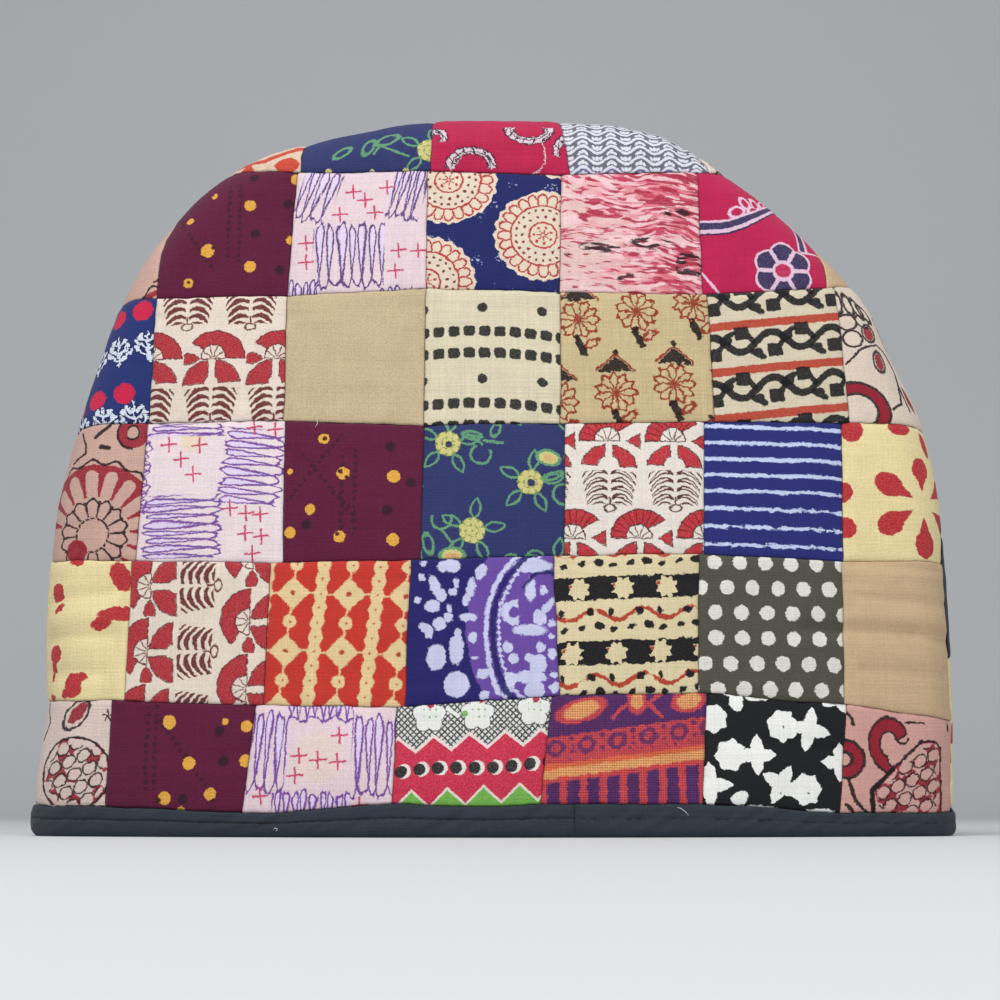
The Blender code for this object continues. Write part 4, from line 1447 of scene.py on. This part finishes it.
def warm_weave_print(u, v):
    red, orange, yellow = (0.86, 0.30, 0.27), (0.89, 0.44, 0.25), (0.92, 0.68, 0.42)
    blobs = either(
        many(oval, u, v, ((-13.6, 13, 9.4, 4, 18), (5.6, 16.4, 3.4, 5), (23.6, 16.6, 6.4, 4, 14))),
        many(stroke, u, v, (
            (-3, 10.6, 1.8, 15, 1.3), (9, 16, 14, 11, 1.3), (9, 15, 14, 19, 1.3))))
    yield red, blobs
    yield yellow, blobs - 1.3
    level = v - u * 0.14
    yield red, within(level, -4, 7)
    x, y = beat(u, 10.6, -22.5), level - 3
    yield PURPLE, either(line(far(x, y * 1.1) - 2.4, 1.7), disc(abs(x), y, 5.3, 2.6, 0.9),
                         disc(abs(x), y, 5.3, -1.6, 0.7))
    yield PURPLE, both(within(level, -1.5, 7), (cloud(1.3, shift=5) - 0.66) * 6)
    level = v - u * 0.13
    yield orange, line(level + 4.9, 5)
    yield yellow, line(level + 5.6, 3.1)
    yield red, both(1.3 - abs(beat(u, 6.8, 0.4)), within(v, -18.8, -2), -7 - level)
    yield red, line(level + 7.9, 1.4)


purple_weave = cotton(
    "purple_weave", PURPLE, warm_weave_print, thread=0.83, coarse=1.9, slub=0.28, shake=0.5, soft=0.5,
    worn=0.7, speck=0.8)
sew(FRONT, 5, 4, purple_weave)


# Black glazed cotton with white blossoms, round ones and pointed ones in pairs
def blossom_print(u, v):
    white = (0.96, 0.96, 0.94)
    for x, y, size, start in (
            (4.3, 9.3, 5.3, 10), (-14.4, -0.8, 5.2, 30), (12, -12.4, 5.2, 0), (-20.4, 11.6, 4.8, 20)):
        out, aside = around(u - x, v - y, 7, start)
        yield white, size + 0.4 * cosine(aside * (7 / size)) - out
    for x, y, start, long in (
            (13.8, 8.2, 78, 1.25), (-5.2, -0.8, 90, 1), (3.2, -10.8, 60, 1.1),
            (24.8, -3, 90, 1), (-22, -11, 0, 1.3), (25, 20, 30, 1)):
        out, aside = around(u - x, v - y, 4, start)
        share = (out - 3) * (1 / (3.9 * long))
        yield white, either(2.8 - out, 2.5 - share * share * 2.5 - abs(aside))
    yield white, many(oval, u, v, (
        (-11.6, -15.4, 3.2, 2.2, 25), (-7.4, -19.2, 8.4, 1.3), (16.6, -20.4, 5.2, 1.4),
        (-12, 17.8, 2.6, 3.6), (-13.6, 21, 3.2, 1.6), (-4.2, 19.4, 4.4, 1.5)))
    yield (0.2, 0.2, 0.2), many(disc, u, v, (
        (4.6, 9, 0.35), (-1.2, 9.6, 0.3), (12.6, -13.6, 0.35), (2.8, -13.8, 0.3)))


black_blossom = cotton("black_blossom", (0.055, 0.06, 0.08), blossom_print, coarse=0.4, shake=0.4,
                       worn=0.04, rough=0.7)
sew(FRONT, 5, 5, black_blossom)


# Grey-violet cotton covered with white waves that carry small three-lobed crowns
def wave_print(u, v):
    rise = cosine(u * (2 * math.pi / 10.8)) * 1.5
    row = beat(v - rise, 4.3)
    crown = beat(v - rise - 1.75, 4.3)
    lobes = either(0.75 - far(abs(beat(u, 5.4)) - 1.25, crown), 0.85 - far(beat(u, 5.4), crown - 0.25))
    yield (0.45, 0.42, 0.60), clear(-16 - v, 4) - 0.5
    yield (0.88, 0.88, 0.91), either(line(row, 1.25), lobes)


slate_wave = cotton("slate_wave", (0.42, 0.42, 0.47), wave_print, shake=0.2, worn=0.1)
sew(FRONT, 0, 4, slate_wave)


# Cream cotton with orange-red blots
def orange_blot_print(u, v):
    yield (0.78, 0.24, 0.17), either(
        (cloud(8, shift=3) - 0.60) * 9, oval(u, v, 19.7, -12.4, 4.6, 3.4),
        stroke(u, v, -2.2, -6.8, 10.4, -9, 3), stroke(u, v, 10.4, -9, 24.1, -2.4, 3))


orange_blot = cotton("orange_blot", (0.85, 0.76, 0.67), orange_blot_print, shake=0.3)
sew(FRONT, 0, 1, orange_blot)
sew(FRONT, 0, 5, cream_petal, at=(-10, 20))

# The back isn't seen in the photo. It is taken to be pieced the same way from the same
# cottons, cut from other places in the cloth and turned other ways round. One charcoal
# patch shows past the right-hand edge.
charcoal_twill = cotton("charcoal_twill", (0.17, 0.18, 0.20), thread=0.5, twill=True)
for row, fabrics in enumerate((
    (tan_twill, blue_stripe, cream_petal, maroon_a, yellow_flower),
    (crimson_flower, star_band, navy_batik, red_fan, slate_wave),
    (rust_flower, black_blossom, scribble_c, orange_diamond, tan_plain, dusty_rosette, navy_vine),
    (scroll_stripe, maroon_c, red_fan_bright, blue_berry, cream_paisley, purple_weave, charcoal_twill),
    (crimson_paisley, yellow_blot, navy_medallion, zigzag_border, scribble_a, rust_flower, charcoal_twill),
    (olive_spot, tan_twill, orange_blot, red_fan, black_blossom, pink_paisley, yellow_blot),
)):
    for column, fabric in enumerate(fabrics, 1 if row < 2 else 0):
        sew(BACK, row, column, fabric, turn=90.0 * ((row + 2 * column) % 4),
            at=(3.0 * ((5 * row + column) % 7) - 9.0, 4.0 * ((row + 3 * column) % 5) - 8.0))

# ---------------------------------------------------------------- hem binding
# The raw hem is covered all round by one strip of charcoal cotton, folded over both walls
# and stitched through. It starts and ends in a turned-in join on the front.
BINDING_COLOUR = (0.175, 0.21, 0.245)
BINDING_THICK = 0.7
BINDING_HEIGHT = 10.35           # floor to the strip's outer fold, where the seam is even
JOIN_REACH = 27.4                # where the strip's ends meet, right of the middle
STITCH_HEIGHT = 6.0              # floor to the row of stitching
STITCH, STITCH_PITCH = 2.4, 3.05         # length of one stitch, and start to start
STITCH_RADIUS, LOOSE_RADIUS = 0.17, 0.11         # of the sewing thread, and of the loose ends
STRIP_LENGTH, STRIP_WIDTH = 780, 34      # the strip laid flat, for its weave
CORNER = 7.0                     # roundness of the strip's lower corners at the side seams
# Section of the strip over the walls' edge: lift from the wall's face, and height
BINDING_SECTION = (
    (-0.35, 10.0), (0.1, 10.35), (0.6, 10.25), (0.95, 9.8), (1.05, 9.1), (1.08, 8.4), (1.08, 7.6),
    (1.08, 6.9), (1.08, 6.5), (1.1, 6.25), (1.1, 6.0), (1.1, 5.75), (1.12, 5.5), (1.15, 5.1), (1.2, 4.5),
    (1.22, 3.8), (1.15, 3.0), (0.95, 2.1), (0.6, 1.3), (0.1, 0.6), (-0.5, 0.15), (-1.2, 0.0), (-2.6, 0.0),
    (-4.0, 0.0),
    (-5.4, 0.0), (-6.8, 0.0), (-7.5, 0.15), (-8.1, 0.6), (-8.6, 1.3), (-8.95, 2.1), (-9.1, 3.4),
    (-9.1, 5.0), (-9.1, 6.6), (-9.05, 8.2), (-8.9, 9.4), (-8.5, 10.2), (-7.9, 10.35), (-7.5, 10.0),
)


def binding_top(side, reach):
    """Height of the strip's outer fold."""
    return row_seam(side, 6, reach) - 0.1


def round_hem():
    """(side, reach) of each column of the binding, once round from the left foot."""
    half = FOOT_HALF_WIDTH + EDGE_SLACK
    steps = [half * (2 * i / 200 - 1) for i in range(201)]
    steps = [s for s in steps if abs(s - JOIN_REACH) > 2.2]
    steps += [JOIN_REACH + d for d in (-1.9, -1.2, -0.6, -0.25, 0.0, 0.25, 0.6, 1.2, 1.9)]
    front = sorted(steps)
    return [(FRONT, s) for s in front] + [(BACK, s) for s in reversed(front[1:-1])] + [(FRONT, front[0])]


binding_cotton = cotton("hem_cotton", BINDING_COLOUR, thread=0.45, coarse=0.35, slub=0.16)
binding = bmesh.new()
hem_columns = round_hem()
bmesh.ops.create_grid(
    binding, x_segments=len(hem_columns) - 1, y_segments=len(BINDING_SECTION) - 1, size=0.5)
laid = binding.loops.layers.uv.new("cut")
for vert in binding.verts:
    vert.co.z = 0.0
for face in binding.faces:
    for loop in face.loops:
        loop[laid].uv = ((loop.vert.co.x + 0.5) * STRIP_LENGTH, (loop.vert.co.y + 0.5) * STRIP_WIDTH)


def binding_swell(side, reach, height):
    """How far the strip's outside stands off its even section."""
    run = reach * side
    free = min(height / 3, 1.0)
    swell = 0.75 * noise.noise(Vector(((run + 1.6 * height) / 4.2, height / 8, side)))
    swell += 0.45 * noise.noise(Vector((run / 11, height / 12, 4 + side)))
    sewn = 0.3 if side == FRONT and reach > JOIN_REACH else 1.0
    swell -= 0.50 * sewn * math.exp(-((height - STITCH_HEIGHT) / 0.42) ** 2)
    near_stitches = math.exp(-((height - STITCH_HEIGHT) / 2.4) ** 2)
    swell += 0.42 * noise.noise(Vector((run / 2.4, 5.0, side))) * near_stitches
    if side == FRONT:
        swell -= 0.9 * math.exp(-((reach - JOIN_REACH) / 0.35) ** 2)
        if reach > JOIN_REACH:
            swell += 0.6 * math.exp(-(reach - JOIN_REACH) / 9)
    return free * swell


for vert in binding.verts:
    side, reach = hem_columns[round((vert.co.x + 0.5) * (len(hem_columns) - 1))]
    lift, height = BINDING_SECTION[round((vert.co.y + 0.5) * (len(BINDING_SECTION) - 1))]
    lift += binding_swell(side, reach, height) * (-1 if lift < -4 else 1)
    lifted = 0.45 * max(0.0, noise.noise(Vector((reach / 9, 3.0, side)))) * max(0.0, 1 - height / 4)
    corner = min(max((abs(reach) - FOOT_HALF_WIDTH - EDGE_SLACK + CORNER) / CORNER, 0.0), 1.0)
    lifted += CORNER * 0.75 * (1 - math.sqrt(1 - corner * corner)) * max(0.0, 1 - height / 9)
    height = height * (1 + (binding_top(side, reach) / BINDING_HEIGHT - 1) * min(height / 6, 1.0)) + lifted
    vert.co = on_wall(Vector((reach, height)), lift, side)
bmesh.ops.remove_doubles(binding, verts=binding.verts, dist=0.01 * MM)
bmesh.ops.recalc_face_normals(binding, faces=binding.faces)
under = sum(
    face.normal.z * face.calc_area() for face in binding.faces
    if face.calc_center_median().z < 0.3 * MM)
if under > 0:
    bmesh.ops.reverse_faces(binding, faces=binding.faces)
hem_binding = put_in_scene("hem_strip", binding, binding_cotton)
thick = hem_binding.modifiers.new("cloth", "SOLIDIFY")
thick.thickness = BINDING_THICK * MM
thick.offset = -1.0
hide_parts("hem_binding")


# Stitches of black thread through the binding, and ends of white thread caught on the cloth
def thread_material(name, colour):
    """Matt spun thread."""
    thread = bpy.data.materials.new(name)
    thread.use_nodes = True
    shader = thread.node_tree.nodes["Principled BSDF"]
    shader.inputs["Base Color"].default_value = (*linear(colour), 1.0)
    shader.inputs["Roughness"].default_value = 0.8
    return thread


def lay_thread(mesh, points, radius):
    """A round thread through some points: a tube with closed ends."""
    rings = []
    for place, point in enumerate(points):
        along = (points[min(place + 1, len(points) - 1)] - points[max(place - 1, 0)]).normalized()
        made = bmesh.ops.create_circle(
            mesh, segments=5, radius=radius * (0.6 if place in (0, len(points) - 1) else 1.0),
            matrix=Matrix.Translation(point) @ along.to_track_quat("Z", "Y").to_matrix().to_4x4())["verts"]
        rings.append(made)
        if place:
            bmesh.ops.bridge_loops(mesh, edges=[
                edge for ring in rings[-2:] for edge in {e for v in ring for e in v.link_edges}
                if edge.verts[0] in ring and edge.verts[1] in ring])
    for ring in (rings[0], rings[-1]):
        bmesh.ops.contextual_create(mesh, geom=ring)


stitching = bmesh.new()
for side in (FRONT, BACK):
    for number in range(-54, 55):
        at_reach = STITCH_PITCH * number + 0.3 * noise.noise(Vector((number * 1.7, side, 0.0)))
        if side == FRONT and at_reach > JOIN_REACH - 3 and number % 5 > 1:
            continue
        level = STITCH_HEIGHT * binding_top(side, at_reach) / BINDING_HEIGHT
        lay_thread(stitching, [
            on_wall(Vector((at_reach + STITCH * share, level)),
                    1.1 + binding_swell(side, at_reach + STITCH * share, STITCH_HEIGHT) + bulge, side)
            for share, bulge in ((-0.5, -0.15), (-0.25, 0.1), (0.25, 0.1), (0.5, -0.15))
        ], STITCH_RADIUS * MM)
black_thread = thread_material("black_thread", (0.07, 0.08, 0.09))
stitching_piece = put_in_scene("hem_stitching", stitching, black_thread)

loose = bmesh.new()
for start_x, start_z, lift, bends in (
    (62.2, 10.2, 1.3, ((0, 0), (1.3, -0.5), (2.7, -1.5), (3.8, -2.7))),
    (-74.7, 2.6, 1.5, ((0, 0), (0.7, 0.6), (1.5, 0.3), (1.0, -0.5))),
    (-64.0, 144.6, 0.6, ((0, 0), (0.9, 1.6), (0.4, 3.0), (1.2, 3.9))),
):
    lay_thread(loose, [
        on_wall(Vector((start_x + x, start_z + z)), lift + 0.3 * (n % 2), FRONT)
        for n, (x, z) in enumerate(bends)
    ], LOOSE_RADIUS * MM)
white_thread = thread_material("white_thread", (0.85, 0.85, 0.83))
loose_piece = put_in_scene("loose_thread", loose, white_thread)
